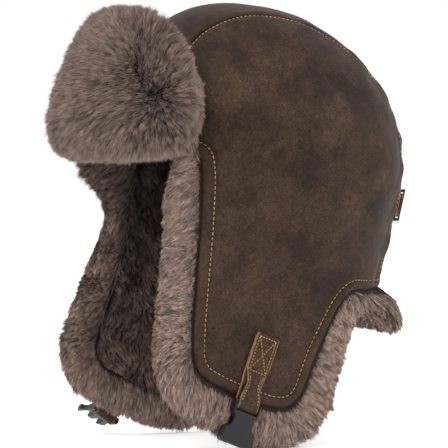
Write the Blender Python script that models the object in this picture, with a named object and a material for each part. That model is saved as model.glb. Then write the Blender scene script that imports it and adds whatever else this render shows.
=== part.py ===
"""Trapper hat: a leather and fur winter hat with a fold-down visor and two fold-up ear flaps.

Frame: +Z up, the wearer looks along -Y and the wearer's left is +X. The origin is the centre of the
head opening, at the level of its widest section. Sizes are in millimetres and become metres in
make_object().
"""

import math

import bmesh
import bpy
import numpy as np

MM = 0.001
GAP = 0.4  # clearance kept between neighbouring pieces

# Crown: two leather sides and a centre strip over a dome
HALF_WIDTH = 95.0
DOME_HEIGHT = 122.0
APEX_Y = -22.0
BACK_REACH = 134.0
FRONT_REACH = 90.0
FRONT_ROUNDNESS = 2.6
FOREHEAD_Z = 13.0
NAPE_Z = -91.0
NAPE_INSET = 22.0
SKIRT_INSET = 7.0
FLATTEN_DEPTH = 130.0  # the skirt loses its forward curve over this depth

STRIP_HALF_WIDTHS = (37.0, 42.0, 56.0)  # forehead, top, nape
SEAM_POINTS = 21  # mesh rows along the seams: strip and side panel share them

# Layers, measured inwards from the outer leather face: (start, end)
LEATHER_LAYER = (0.0, 2.0)
WADDING_LAYER = (2.4, 8.0)
LINING_LAYER = (8.4, 10.8)
FLAP_WADDING_LAYER = (3.0, 8.0)
FLAP_FUR_LAYER = (8.4, 18.0)
SWEATBAND_LAYER = (12.6, 14.0)
SWEATBAND_HEIGHTS = (15.0, 40.0)

# Side view (y, z) of the left side's edges
TEMPLE_EDGE = ((-101.0, 13.0), (-91.0, 13.0), (-84.0, 10.0), (-82.0, 0.0), (-83.0, -15.0), (-84.5, -30.0))
FLAP_FRONT = (
    (-84.5, -30.0), (-86.5, -49.0), (-91.5, -84.0), (-97.5, -117.0), (-98.5, -136.0), (-93.0, -148.0)
)
FLAP_BOTTOM = (
    (-93.0, -148.0), (-82.0, -155.0), (-69.0, -161.0), (-39.0, -172.0), (-22.0, -172.5), (-11.0, -163.0)
)
FLAP_BACK = ((-11.0, -163.0), (0.0, -138.0), (12.0, -115.5), (23.0, -99.5), (32.0, -92.0), (38.0, -90.0))
NAPE_BEND_Y = (46.0, 56.0)  # the nape hem is level between these, past the fold's back end
NAPE_TURN = (math.radians(48.0), math.radians(90.0))  # then it goes round the back of the head
BINDING_WIDTH = 7.0

# Fur edges: how far they stand out past the leather, and how thick they are
FUR_THICKNESS = 20.0
FLAP_FUR_WIDTHS = {  # from the fold's front end, round the flap, to its back end
    "left": (27.0, 26.0, 27.0, 29.0, 28.0, 24.0, 20.0),
    "right": (15.0, 25.0, 27.0, 25.0, 24.0, 24.0, 20.0),
}
NECK_FUR_WIDTH = 33.0
TEMPLE_FUR_WIDTHS = {"left": (30.0, 27.0), "right": (36.0, 15.0)}  # at the top, at the fold
FUR_SIDES = 10
TEMPLE_FUR_TOP = (0.10, -0.90, -0.30)  # the way the temple fur faces under the visor
NAPE_FUR_WAY = (0.60, 0.80)  # outwards and down

# Visor
VISOR_HALF_ARC = math.radians(41.0)
VISOR_FUR_HALF_ARC = math.radians(45.0)
VISOR_HEIGHTS = (13.6, 112.0)
VISOR_FUR_HEIGHTS = (6.0, 123.0)
VISOR_CORNERS = (9.0, 40.0)  # how far the ends fall short at the bottom and the top
VISOR_LEAVES_CROWN_Z = 70.0  # above this the visor stands free of the dome
VISOR_LEAN = 0.36
VISOR_LEATHER_LAYER = (-1.5, -3.5)  # negative: outwards from the crown
VISOR_WADDING_LAYER = (-3.8, -10.0)
VISOR_FUR_BACK = -10.4
VISOR_FUR_EDGE = 16.0
VISOR_FUR_PROUD = (53.0, 46.0)  # at the bottom, at the top
VISOR_HINGE = (0.0, -105.0, 12.0)

# Ear flap hinge: a straight line just outside the leather, from front to back
FLAP_HINGE_FRONT = (91.0, -84.5, -30.0)
FLAP_HINGE_BACK = (100.0, 38.0, -90.0)

# Chin straps
TAB_CENTRE = (-46.0, -134.0)
TAB_SIZE = (19.0, 29.0, 4.0)
STRAP_WIDTH = 17.0
STRAP_THICKNESS = 1.8
STRAP_TILT = {"left": math.radians(21.0), "right": math.radians(34.0)}
STRAP_LENGTH = {"left": 25.0, "right": 50.0}  # tab seam to buckle bar
BAR_RADIUS = 1.4
LOOP_RADIUS = 2.3  # inside the strap's turn round the bar
LOOP_ROOM = LOOP_RADIUS + STRAP_THICKNESS + 0.6  # from the bar's middle to the far side of its slot
TAB_LIFT = 0.8  # the tab's back stands this far off the widest leather under the strap

# Side-release buckle
SOCKET_THICKNESS = 8.4
SOCKET_WALL = 1.7
SOCKET_HALF_WIDTHS = (  # (along, half-width)
    (-3.2, 10.4), (6.0, 10.4), (8.0, 8.3), (15.0, 8.3), (18.5, 12.8), (26.5, 13.4), (28.8, 12.4)
)
SOCKET_MOUTH_DEPTH = 17.0
PLUG_HALF_WIDTH = 12.0
PLUG_SWIVEL = math.radians(84.0)
PLUG_THICKNESS = 5.0
PLUG_BASE_END = LOOP_ROOM + 3.6
PLUG_TONGUE_LENGTH = 15.0
PRONG_OUTLINE = (  # (across, past the base's end) of one springy arm
    (10.6, GAP), (11.4, 9.0), (13.0, 9.6), (12.2, 15.0), (9.4, 19.0), (8.2, 18.0), (8.6, 8.0), (7.6, GAP)
)
PRONG_HINGE = (9.1, 1.2)

# Size adjuster round the back of the head, which is close to a cone about a vertical line there
ADJUSTER_Z = -28.0
ADJUSTER_WIDTH = 18.0
ADJUSTER_PIVOT_Y = 25.5
ADJUSTER_CONE = (81.65, 0.217)  # leather's radius at ADJUSTER_Z, and its growth per mm of height
ADJUSTER_ARC = (-30.0, 31.0)  # degrees from straight back, towards the wearer's left
ANCHOR_ARC = (25.4, 38.0)
RING_ARC = (23.0, 24.8)
KEEPER_ARC = (-21.0, -13.0)
TUNNEL_INNER = (0.7, 1.7)  # wall under the strap, measured out from the leather
STRAP_BAND = (2.1, 3.5)
TUNNEL_OUTER = (3.9, 4.9)  # wall over the strap

LEATHER = ((0.072, 0.052, 0.040), 0.62, 0.0)
TRIM = ((0.085, 0.058, 0.036), 0.55, 0.0)
FUR = ((0.245, 0.185, 0.160), 0.95, 0.0)
WADDING = ((0.55, 0.53, 0.50), 0.95, 0.0)
LINING = ((0.060, 0.045, 0.038), 0.80, 0.0)
BUCKLE = ((0.022, 0.022, 0.024), 0.45, 0.0)
RING = ((0.015, 0.015, 0.016), 0.40, 0.0)


# ---------------------------------------------------------------- scene helpers


def clear_scene():
    for obj in list(bpy.data.objects):
        bpy.data.objects.remove(obj, do_unlink=True)


def make_material(name, finish):
    colour, roughness, metallic = finish
    material = bpy.data.materials.new(name + "_finish")
    material.use_nodes = True
    shader = material.node_tree.nodes["Principled BSDF"]
    shader.inputs["Base Color"].default_value = (*colour, 1.0)
    shader.inputs["Roughness"].default_value = roughness
    shader.inputs["Metallic"].default_value = metallic
    return material


def make_body(name, pivot):
    """An empty on the joint's axis: everything that moves with the joint is parented to it."""
    empty = bpy.data.objects.new("body_" + name, None)
    empty.location = [c * MM for c in pivot]
    bpy.context.collection.objects.link(empty)
    return empty


def make_object(name, vertices, faces, finish, body=None, sharp_angle=35.0):
    """A closed mesh from points in world millimetres, with its origin at its body's pivot."""
    pivot = np.array(body.location) if body else np.zeros(3)
    points = np.array(vertices, float) * MM - pivot
    mesh = bpy.data.meshes.new(name)
    mesh.from_pydata(points.tolist(), [], [list(face) for face in faces])
    work = bmesh.new()
    work.from_mesh(mesh)
    bmesh.ops.recalc_face_normals(work, faces=work.faces)
    work.to_mesh(mesh)
    work.free()
    mesh.shade_smooth()
    mesh.set_sharp_from_angle(angle=math.radians(sharp_angle))
    obj = bpy.data.objects.new(name, mesh)
    bpy.context.collection.objects.link(obj)
    if body:
        obj.parent = body
    if finish:
        mesh.materials.append(make_material(name, finish))
    return obj


def cut(obj, cutter):
    cutter.hide_render = True
    cutter.display_type = "WIRE"
    modifier = obj.modifiers.new("cut_" + cutter.name, "BOOLEAN")
    modifier.operation = "DIFFERENCE"
    modifier.solver = "EXACT"
    modifier.object = cutter


def bevel(obj, width, segments=2):
    modifier = obj.modifiers.new("edge_round", "BEVEL")
    modifier.width = width * MM
    modifier.segments = segments
    modifier.limit_method = "ANGLE"
    modifier.angle_limit = math.radians(40.0)


# ---------------------------------------------------------------- curves and surfaces


def smoothstep(t):
    t = min(max(t, 0.0), 1.0)
    return t * t * (3.0 - 2.0 * t)


def section(y, z):
    """Half-width, half-length and centre of the hat's outline at height z, on y's side of it."""
    if z >= 0.0:
        q = min(z / DOME_HEIGHT, 1.0)
        round_part = math.sqrt(max(0.0, 1.0 - q * q))
        full_part = max(0.0, 1.0 - q**FRONT_ROUNDNESS) ** (1.0 / FRONT_ROUNDNESS)
        back = APEX_Y + BACK_REACH * round_part
        front = APEX_Y - FRONT_REACH * full_part
        half_width = HALF_WIDTH * (0.59 * round_part + 0.41 * full_part)
        return half_width, (back - front) / 2.0, (back + front) / 2.0
    half_width = HALF_WIDTH - SKIRT_INSET * smoothstep(-z / 100.0)
    if y > 0.0:
        depth = min(z / NAPE_Z, 1.15)
        return half_width, BACK_REACH + APEX_Y - NAPE_INSET * depth**1.3, 0.0
    curve = max(0.02, 1.0 + z / FLATTEN_DEPTH)
    return half_width, (FRONT_REACH - APEX_Y) / math.sqrt(curve), 0.0


def outside(x, y, z):
    """Below 0 inside the hat's outer surface, above 0 outside it."""
    if z >= DOME_HEIGHT:
        return 1.0 + z - DOME_HEIGHT
    half_width, half_length, centre = section(y, z)
    if half_width < 1e-6 or half_length < 1e-6:
        return 1.0
    return (x / half_width) ** 2 + ((y - centre) / half_length) ** 2 - 1.0


def side_x(y, z):
    half_width, half_length, centre = section(y, z)
    return half_width * math.sqrt(max(0.0, 1.0 - ((y - centre) / half_length) ** 2))


def normal_at(point):
    """Outward unit normal of the outer surface."""
    x, y, z = point
    step = 0.4
    height = min(z, DOME_HEIGHT - 2.0 * step)
    gradient = np.array(
        [
            outside(x + step, y, height) - outside(x - step, y, height),
            outside(x, y + step, height) - outside(x, y - step, height),
            outside(x, y, height + step) - outside(x, y, height - step),
        ]
    )
    return gradient / np.linalg.norm(gradient)


def crown_point(x, angle):
    """Where a ray in the plane x = constant, angle up from straight back, meets the crown."""
    low, high = 0.0, 200.0
    for _ in range(48):
        middle = (low + high) / 2.0
        if outside(x, middle * math.cos(angle), middle * math.sin(angle)) < 0.0:
            low = middle
        else:
            high = middle
    return np.array([x, low * math.cos(angle), low * math.sin(angle)])


def crown_angle_at(x, z, forward):
    """The angle of crown_point for the height z, at the front or at the back."""
    probe = -1.0 if forward else 1.0
    half_width, half_length, centre = section(probe, z)
    reach = half_length * math.sqrt(1.0 - (x / half_width) ** 2)
    return math.atan2(z, centre + probe * reach)


def strip_half_width(v):
    """The centre strip is narrow over the top and widens to the nape; v runs front to nape."""
    top = STRIP_HALF_WIDTHS[0] + (STRIP_HALF_WIDTHS[1] - STRIP_HALF_WIDTHS[0]) * smoothstep(v / 0.4)
    return top + (STRIP_HALF_WIDTHS[2] - STRIP_HALF_WIDTHS[1]) * smoothstep((v - 0.7) / 0.3)


def strip_point(v, x):
    front = crown_angle_at(x, FOREHEAD_Z, True)
    back = crown_angle_at(x, NAPE_Z, False)
    return crown_point(x, front + v * (back - front))


def curve_through(points, count):
    """A smooth Catmull-Rom curve through the points, evenly spaced."""
    points = np.array(points, float)
    padded = np.vstack([2 * points[0] - points[1], points, 2 * points[-1] - points[-2]])
    dense = []
    for i in range(1, len(padded) - 2):
        p0, p1, p2, p3 = padded[i - 1 : i + 3]
        for t in np.linspace(0.0, 1.0, 24, endpoint=False):
            dense.append(
                0.5
                * (
                    2 * p1
                    + (p2 - p0) * t
                    + (2 * p0 - 5 * p1 + 4 * p2 - p3) * t**2
                    + (3 * p1 - p0 - 3 * p2 + p3) * t**3
                )
            )
    dense.append(points[-1])
    return evenly(np.array(dense), count)


def evenly(points, count):
    points = np.asarray(points, float)
    steps = np.linalg.norm(np.diff(points, axis=0), axis=1)
    along = np.concatenate([[0.0], np.cumsum(steps)])
    targets = np.linspace(0.0, along[-1], count)
    columns = [np.interp(targets, along, points[:, k]) for k in range(points.shape[1])]
    return np.stack(columns, axis=1)


def coons(top, bottom, left, right):
    """Points of a four-sided patch from its edges: rows run from top to bottom, columns left to right."""
    rows, columns = len(left), len(top)
    grid = np.zeros((rows, columns, top.shape[1]))
    for i in range(rows):
        v = i / (rows - 1)
        for j in range(columns):
            u = j / (columns - 1)
            corners = (
                (1 - u) * (1 - v) * top[0]
                + u * (1 - v) * top[-1]
                + (1 - u) * v * bottom[0]
                + u * v * bottom[-1]
            )
            grid[i, j] = (1 - v) * top[j] + v * bottom[j] + (1 - u) * left[i] + u * right[i] - corners
    return grid


def on_side(grid):
    """Side-view points (y, z) put on the left outer surface."""
    flat = [(side_x(y, z), y, z) for y, z in grid.reshape(-1, 2)]
    return np.array(flat).reshape(*grid.shape[:2], 3)


def layered(grid, layer):
    """The grid's inner and outer copies, offset inwards by the layer's two depths."""
    normals = np.array([normal_at(p) for p in grid.reshape(-1, 3)]).reshape(grid.shape)
    return grid - normals * layer[0], grid - normals * layer[1]


def closed_patch(outer, inner):
    """Vertices and faces of the closed solid between two grids of the same shape."""
    rows, columns = outer.shape[:2]
    count = rows * columns
    vertices = np.vstack([outer.reshape(-1, 3), inner.reshape(-1, 3)])
    faces = []
    for i in range(rows - 1):
        for j in range(columns - 1):
            a = i * columns + j
            b = a + columns
            for triangle in ((a, a + 1, b + 1), (a, b + 1, b)):
                faces.append(triangle)
                faces.append(tuple(k + count for k in reversed(triangle)))
    rim = [j for j in range(columns)]
    rim += [i * columns + columns - 1 for i in range(1, rows)]
    rim += [(rows - 1) * columns + j for j in range(columns - 2, -1, -1)]
    rim += [i * columns for i in range(rows - 2, 0, -1)]
    for a, b in zip(rim, rim[1:] + rim[:1]):
        faces.append((a, a + count, b + count, b))
    return vertices, faces


def mirrored(points, side):
    return points if side == "left" else points * np.array([-1.0, 1.0, 1.0])


def sweep(path, across, inward, widths, thickness, proud=0.5):
    """A closed rolled edge: an oval section carried along the path, with flat ends."""
    vertices = []
    for point, out, into, width in zip(path, across, inward, widths):
        centre = point + out * (GAP + width / 2.0) + into * (thickness / 2.0 - proud)
        for k in range(FUR_SIDES):
            turn = 2.0 * math.pi * (k + 0.5) / FUR_SIDES
            x = math.copysign(abs(math.cos(turn)) ** 0.75, math.cos(turn))
            y = math.copysign(abs(math.sin(turn)) ** 0.75, math.sin(turn))
            vertices.append(centre + out * (x * width / 2.0) + into * (y * thickness / 2.0))
    rings = len(path)
    faces = [tuple(range(FUR_SIDES)), tuple(range((rings - 1) * FUR_SIDES, rings * FUR_SIDES))]
    for i in range(rings - 1):
        for k in range(FUR_SIDES):
            a = i * FUR_SIDES + k
            b = i * FUR_SIDES + (k + 1) % FUR_SIDES
            faces.append((a, b, b + FUR_SIDES, a + FUR_SIDES))
    return np.array(vertices), faces


def smoothed(vectors, reach):
    """Unit vectors averaged with their neighbours, so that a rolled edge never crosses itself."""
    out = []
    for i in range(len(vectors)):
        low, high = max(0, i - reach), min(len(vectors), i + reach + 1)
        mean = np.mean(vectors[low:high], axis=0)
        out.append(mean / np.linalg.norm(mean))
    return np.array(out)


def spread(values, count):
    return np.interp(np.linspace(0, len(values) - 1, count), range(len(values)), values)


def prism(outline, depth, place):
    """Vertices and faces of an outline (a, b) extruded from depth[0] to depth[1]; place maps (a, b, c)."""
    count = len(outline)
    vertices = [place(a, b, c) for c in depth for a, b in outline]
    faces = [tuple(range(count)), tuple(range(2 * count - 1, count - 1, -1))]
    for k in range(count):
        after = (k + 1) % count
        faces.append((k, after, after + count, k + count))
    return vertices, faces


def block(low, high, place):
    outline = ((low[0], low[1]), (high[0], low[1]), (high[0], high[1]), (low[0], high[1]))
    return prism(outline, (low[2], high[2]), place)


# ---------------------------------------------------------------- crown


def seam_curve(offset, count):
    """Side view of the seam between centre strip and side panel, moved sideways by offset."""
    ends = np.linspace(0.0, 1.0, count)
    return np.array([strip_point(v, strip_half_width(v) + offset)[1:] for v in ends])


def nape_edge(start, end, count):
    """Side view of the nape hem from the seam to the flap."""
    return evenly(np.array([start, ((start[0] + end[0]) / 2.0, NAPE_Z), end]), count)


def side_panel_grid(rows, columns):
    top = seam_curve(GAP / 2.0, columns)
    left = curve_through(TEMPLE_EDGE, rows)
    left[0] = top[0]
    fold = np.array([TEMPLE_EDGE[-1], FLAP_BACK[-1]]) + np.array([0.0, GAP])
    left[-1] = fold[0]
    bottom = evenly(fold, columns)
    right = nape_edge(top[-1], bottom[-1], rows)
    return on_side(coons(top, bottom, left, right))


def centre_strip_grid(rows, columns):
    grid = np.zeros((rows, columns, 3))
    for i in range(rows):
        v = i / (rows - 1)
        half = strip_half_width(v) - GAP / 2.0
        for j in range(columns):
            grid[i, j] = strip_point(v, half * (2.0 * j / (columns - 1) - 1.0))
    return grid


def build_crown():
    layers = (
        ("crown_side", "crown_centre_strip", LEATHER_LAYER, LEATHER),
        ("crown_wadding", "crown_wadding_centre", WADDING_LAYER, WADDING),
        ("crown_lining", "crown_lining_centre", LINING_LAYER, LINING),
    )
    side_grid = side_panel_grid(8, SEAM_POINTS)
    strip_grid = centre_strip_grid(SEAM_POINTS, 5)
    for side_name, centre_name, layer, finish in layers:
        outer, inner = layered(side_grid, layer)
        for side in ("left", "right"):
            vertices, faces = closed_patch(mirrored(outer, side), mirrored(inner, side))
            make_object(f"{side_name}_{side}", vertices, faces, finish)
        outer, inner = layered(strip_grid, layer)
        vertices, faces = closed_patch(outer, inner)
        make_object(centre_name, vertices, faces, finish)


def build_sweatband():
    """A closed band inside the lining, above the forehead hem."""
    heights = np.linspace(*SWEATBAND_HEIGHTS, 3)
    rings = {depth: [] for depth in SWEATBAND_LAYER}
    turns = 36
    for z in heights:
        half_width, half_length, centre = section(0.0, z)
        for k in range(turns):
            angle = 2.0 * math.pi * k / turns
            point = np.array(
                [half_width * math.cos(angle), centre + half_length * math.sin(angle), z]
            )
            for depth in SWEATBAND_LAYER:
                rings[depth].append(point - normal_at(point) * depth)
    vertices = rings[SWEATBAND_LAYER[0]] + rings[SWEATBAND_LAYER[1]]
    count = len(heights) * turns
    faces = []
    for k in range(turns):
        after = (k + 1) % turns
        for i in range(len(heights) - 1):
            a, b = i * turns + k, i * turns + after
            faces.append((a, b, b + turns, a + turns))
            faces.append((a + count, a + turns + count, b + turns + count, b + count))
        for i in (0, len(heights) - 1):
            a, b = i * turns + k, i * turns + after
            faces.append((a, b, b + count, a + count))
    make_object("sweatband", vertices, faces, LINING)


# ---------------------------------------------------------------- fur edges and bindings


def edge_frame(path, centre, reach):
    """For a path on the left outer surface: directions out past the edge, and inwards."""
    tangents = np.gradient(path, axis=0)
    normals = np.array([normal_at(p) for p in path])
    across = np.cross(tangents, normals)
    across /= np.linalg.norm(across, axis=1)[:, None]
    for k in range(len(path)):
        if np.dot(across[k], path[k] - centre) < 0.0:
            across[k] = -across[k]
    return smoothed(across, reach), -normals


def flap_outline(count):
    """Side view of the flap's free edge, from the fold's front end round to its back end."""
    points = FLAP_FRONT + FLAP_BOTTOM[1:] + FLAP_BACK[1:]
    return curve_through(points, count)


def flap_edge_path(count):
    return np.array([(side_x(y, z), y, z) for y, z in flap_outline(count)])


def fold_down(path):
    """The free edge starts and ends just below the fold."""
    path = path.copy()
    path[0, 2] -= GAP
    path[-1, 2] -= GAP
    return path


def fold_edge_directions():
    """The directions that the flap's and the neck's fur edges share at the fold's two ends."""
    path = flap_edge_path(61)
    return edge_frame(path, np.array([88.0, -40.0, -110.0]), 5)


def build_neck_edge():
    """Fur edge along the nape, from fold to fold."""
    back_y, back_z = FLAP_BACK[-1]
    outline = [(side_x(back_y, back_z), back_y, back_z + GAP)]
    outline += [(side_x(y, NAPE_Z), y, NAPE_Z) for y in NAPE_BEND_Y]
    half_width, half_length, _ = section(1.0, NAPE_Z)
    for angle in np.linspace(*NAPE_TURN, 6):
        outline.append((half_width * math.cos(angle), half_length * math.sin(angle), NAPE_Z))
    left = evenly(np.array(outline), 12)
    path = np.vstack([left, left[-2::-1] * np.array([-1.0, 1.0, 1.0])])
    normals = np.array([normal_at(p) for p in path])
    across, _ = fold_edge_directions()
    start = across[-1]
    directions = []
    for k, normal in enumerate(normals):
        level = np.array([normal[0], normal[1], 0.0])
        down = np.array([0.0, 0.0, -NAPE_FUR_WAY[1]]) + level / np.linalg.norm(level) * NAPE_FUR_WAY[0]
        nearest = min(k, len(path) - 1 - k)
        blend = smoothstep(nearest / 5.0)
        end = start if k < len(path) / 2 else start * np.array([-1.0, 1.0, 1.0])
        direction = end * (1.0 - blend) + down * blend
        directions.append(direction / np.linalg.norm(direction))
    directions = np.array(directions)
    ends = FLAP_FUR_WIDTHS["left"][-1]
    widths = spread((ends, NECK_FUR_WIDTH, NECK_FUR_WIDTH, ends), len(path))
    vertices, faces = sweep(path, directions, -normals, widths, FUR_THICKNESS)
    make_object("neck_fur_edge", vertices, faces, FUR)


def build_temple_fur(side):
    path = np.array([(side_x(y, z), y, z) for y, z in curve_through(TEMPLE_EDGE[3:], 7)])
    path[-1, 2] += GAP
    across, _ = fold_edge_directions()
    normals = np.array([normal_at(p) for p in path])
    top = np.array(TEMPLE_FUR_TOP)
    directions = []
    for k in range(len(path)):
        share = k / (len(path) - 1)
        direction = top * (1.0 - share) + across[0] * share
        directions.append(direction / np.linalg.norm(direction))
    widths = spread(TEMPLE_FUR_WIDTHS[side], len(path))
    vertices, faces = sweep(path, np.array(directions), -normals, widths, FUR_THICKNESS)
    make_object(f"temple_fur_edge_{side}", mirrored(vertices, side), faces, FUR)


# ---------------------------------------------------------------- ear flaps


def inset_edge(inset, count):
    """Side view of the flap's free edge moved inwards, ending a gap below the fold line at both ends."""
    outline = flap_outline(141)
    tangents = np.gradient(outline, axis=0)
    tangents /= np.linalg.norm(tangents, axis=1)[:, None]
    outline = outline + np.stack([-tangents[:, 1], tangents[:, 0]], axis=1) * inset
    start, end = np.array(FLAP_FRONT[0]), np.array(FLAP_BACK[-1])
    along = (end - start) / np.linalg.norm(end - start)
    depth = (outline - start) @ np.array([along[1], -along[0]]) - GAP
    below = np.nonzero(depth > 0.0)[0]
    first, last = below[0], below[-1]
    front = depth[first] / (depth[first] - depth[first - 1])
    back = depth[last] / (depth[last] - depth[last + 1])
    points = [outline[first] + (outline[first - 1] - outline[first]) * front]
    points += list(outline[first : last + 1])
    points += [outline[last] + (outline[last + 1] - outline[last]) * back]
    return evenly(points, count)


def flap_grid(rows, columns, inset):
    """The flap's outer surface, inset from its free edge."""
    edge = inset_edge(inset, 161)
    front = int(np.argmin(np.linalg.norm(edge - np.array(FLAP_FRONT[-1]), axis=1)))
    back = int(np.argmin(np.linalg.norm(edge - np.array(FLAP_BACK[0]), axis=1)))
    top = evenly([edge[0], edge[-1]], columns)
    bottom = evenly(edge[front : back + 1], columns)
    left = evenly(edge[: front + 1], rows)
    right = evenly(edge[back:][::-1], rows)
    return on_side(coons(top, bottom, left, right))


def build_flap(side, body):
    grid = flap_grid(8, 9, BINDING_WIDTH + 2.0 * GAP)
    full = flap_grid(8, 9, 0.6)
    pieces = (
        ("flap_leather", grid, LEATHER_LAYER, LEATHER),
        ("flap_wadding", full, FLAP_WADDING_LAYER, WADDING),
        ("flap_fur_lining", full, FLAP_FUR_LAYER, FUR),
    )
    for name, points, layer, finish in pieces:
        outer, inner = layered(points, layer)
        vertices, faces = closed_patch(mirrored(outer, side), mirrored(inner, side))
        make_object(f"{name}_{side}", vertices, faces, finish, body)

    count = 31
    band = np.stack([inset_edge(0.2, count), inset_edge(BINDING_WIDTH, count)])
    outer, inner = layered(on_side(band), LEATHER_LAYER)
    vertices, faces = closed_patch(mirrored(outer, side), mirrored(inner, side))
    make_object(f"flap_binding_{side}", vertices, faces, TRIM, body)

    path = fold_down(flap_edge_path(31))
    across, inward = edge_frame(path, np.array([88.0, -40.0, -110.0]), 3)
    ends, _ = fold_edge_directions()
    across[0], across[-1] = ends[0], ends[-1]
    widths = spread(FLAP_FUR_WIDTHS[side], len(path))
    vertices, faces = sweep(path, across, inward, widths, FUR_THICKNESS)
    make_object(f"flap_fur_edge_{side}", mirrored(vertices, side), faces, FUR, body)


# ---------------------------------------------------------------- visor


def visor_point(arc, z):
    """A point of the surface that the visor leans on, and its level outward normal."""
    height = min(z, VISOR_LEAVES_CROWN_Z)
    half_width, half_length, centre = section(-1.0, height)
    shift = VISOR_LEAN * max(0.0, z - VISOR_LEAVES_CROWN_Z)
    point = np.array(
        [half_width * math.sin(arc), centre - half_length * math.cos(arc) + shift, z]
    )
    normal = np.array([math.sin(arc) / half_width, -math.cos(arc) / half_length, 0.0])
    return point, normal / np.linalg.norm(normal)


def visor_grid(half_arc, heights, rows, columns, offset):
    """offset(u, v) is the distance out from the crown."""
    grid = np.zeros((rows, columns, 3))
    for i in range(rows):
        v = i / (rows - 1)
        for j in range(columns):
            u = 2.0 * j / (columns - 1) - 1.0
            low = heights[0] + VISOR_CORNERS[0] * abs(u) ** 3
            high = heights[1] - VISOR_CORNERS[1] * abs(u) ** 3
            point, normal = visor_point(u * half_arc, low + v * (high - low))
            grid[i, j] = point + normal * offset(u, v)
    return grid


def visor_fur_offset(u, v):
    proud = VISOR_FUR_PROUD[0] + (VISOR_FUR_PROUD[1] - VISOR_FUR_PROUD[0]) * v
    upright = (1.0 - min(1.0, abs(2.0 * v - 1.0)) ** 3.5) ** (1.0 / 3.0)
    sideways = (1.0 - min(1.0, abs(u)) ** 4.0) ** (1.0 / 3.0)
    return VISOR_FUR_EDGE + (proud - VISOR_FUR_EDGE) * upright * sideways


def build_visor(body):
    for name, layer, finish in (
        ("visor_leather", VISOR_LEATHER_LAYER, LEATHER),
        ("visor_wadding", VISOR_WADDING_LAYER, WADDING),
    ):
        near, far = (
            visor_grid(VISOR_HALF_ARC, VISOR_HEIGHTS, 6, 15, lambda u, v, d=depth: -d)
            for depth in layer
        )
        vertices, faces = closed_patch(far, near)
        make_object(name, vertices, faces, finish, body)
    back = visor_grid(VISOR_FUR_HALF_ARC, VISOR_FUR_HEIGHTS, 11, 19, lambda u, v: -VISOR_FUR_BACK)
    front = visor_grid(VISOR_FUR_HALF_ARC, VISOR_FUR_HEIGHTS, 11, 19, visor_fur_offset)
    vertices, faces = closed_patch(front, back)
    make_object("visor_fur", vertices, faces, FUR, body)


# ---------------------------------------------------------------- chin straps and buckle


def strap_place(side, origin, swing=0.0):
    """Maps (across, along, out) near a strap to world millimetres; swing turns it outwards."""
    tilt = STRAP_TILT[side]
    sign = 1.0 if side == "left" else -1.0
    across = np.array([0.0, math.cos(tilt), -math.sin(tilt)])
    hang = np.array([0.0, -math.sin(tilt), -math.cos(tilt)])
    out = np.array([sign, 0.0, 0.0])
    along = hang * math.cos(swing) + out * math.sin(swing)
    lift = out * math.cos(swing) - hang * math.sin(swing)

    def place(a, b, c):
        return origin + across * a + along * b + lift * c

    return place


def tab_origin(side):
    """Middle of the tab's face against the leather."""
    y, z = TAB_CENTRE
    tilt = STRAP_TILT[side]
    reach = 0.0
    for a in (-TAB_SIZE[0] / 2.0, 0.0, TAB_SIZE[0] / 2.0):
        for b in (-TAB_SIZE[1] / 2.0, 0.0, TAB_SIZE[1] / 2.0 + STRAP_LENGTH[side]):
            ya = y + a * math.cos(tilt) - b * math.sin(tilt)
            zb = z - a * math.sin(tilt) - b * math.cos(tilt)
            reach = max(reach, side_x(ya, zb))
    sign = 1.0 if side == "left" else -1.0
    return np.array([sign * (reach + TAB_LIFT), y, z])


def strap_origin(side):
    """On the tab's lower seam line, where the strap begins to hang."""
    return np.array(strap_place(side, tab_origin(side))(0.0, TAB_SIZE[1] / 2.0 + GAP, 0.0))


def strap_hinge(side):
    return np.array(strap_place(side, strap_origin(side))(0.0, 0.0, TAB_SIZE[2] + 0.4))


def bar_centre(side):
    place = strap_place(side, strap_origin(side))
    return np.array(place(0.0, STRAP_LENGTH[side], LOOP_RADIUS + STRAP_THICKNESS))


def build_tab(side, body):
    width, length, thickness = TAB_SIZE
    place = strap_place(side, tab_origin(side))
    vertices, faces = block((-width / 2, -length / 2, 0.0), (width / 2, length / 2, thickness), place)
    tab = make_object(f"strap_tab_{side}", vertices, faces, TRIM, body)
    bevel(tab, 0.5, 1)


def build_strap(side, body):
    """Two layers of leather that turn round the buckle's bar."""
    place = strap_place(side, strap_origin(side))
    length = STRAP_LENGTH[side]
    outer_radius = LOOP_RADIUS + STRAP_THICKNESS
    middle = outer_radius
    outline = [(0.0, 0.0)]
    inner = [(0.0, STRAP_THICKNESS)]
    for k in range(13):
        angle = -math.pi / 2.0 + math.pi * k / 12.0
        outline.append((length + outer_radius * math.cos(angle), middle + outer_radius * math.sin(angle)))
        inner.append((length + LOOP_RADIUS * math.cos(angle), middle + LOOP_RADIUS * math.sin(angle)))
    outline.append((length * 0.45, 2.0 * outer_radius - 2.2))
    inner.append((length * 0.45, 2.0 * outer_radius - 2.2 - STRAP_THICKNESS))
    outline.append((0.0, TAB_SIZE[2]))
    inner.append((0.0, TAB_SIZE[2] - STRAP_THICKNESS))
    profile = outline + inner[::-1]
    half = STRAP_WIDTH / 2.0
    vertices, faces = prism(profile, (-half, half), lambda b, c, a: place(a, b, c))
    make_object(f"chin_strap_{side}", vertices, faces, TRIM, body, 50.0)


def mirrored_outline(half_widths):
    """A closed outline (across, along) from half-widths at distances along the piece."""
    right = [(half, along) for along, half in half_widths]
    return right + [(-half, along) for half, along in reversed(right)]


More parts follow.
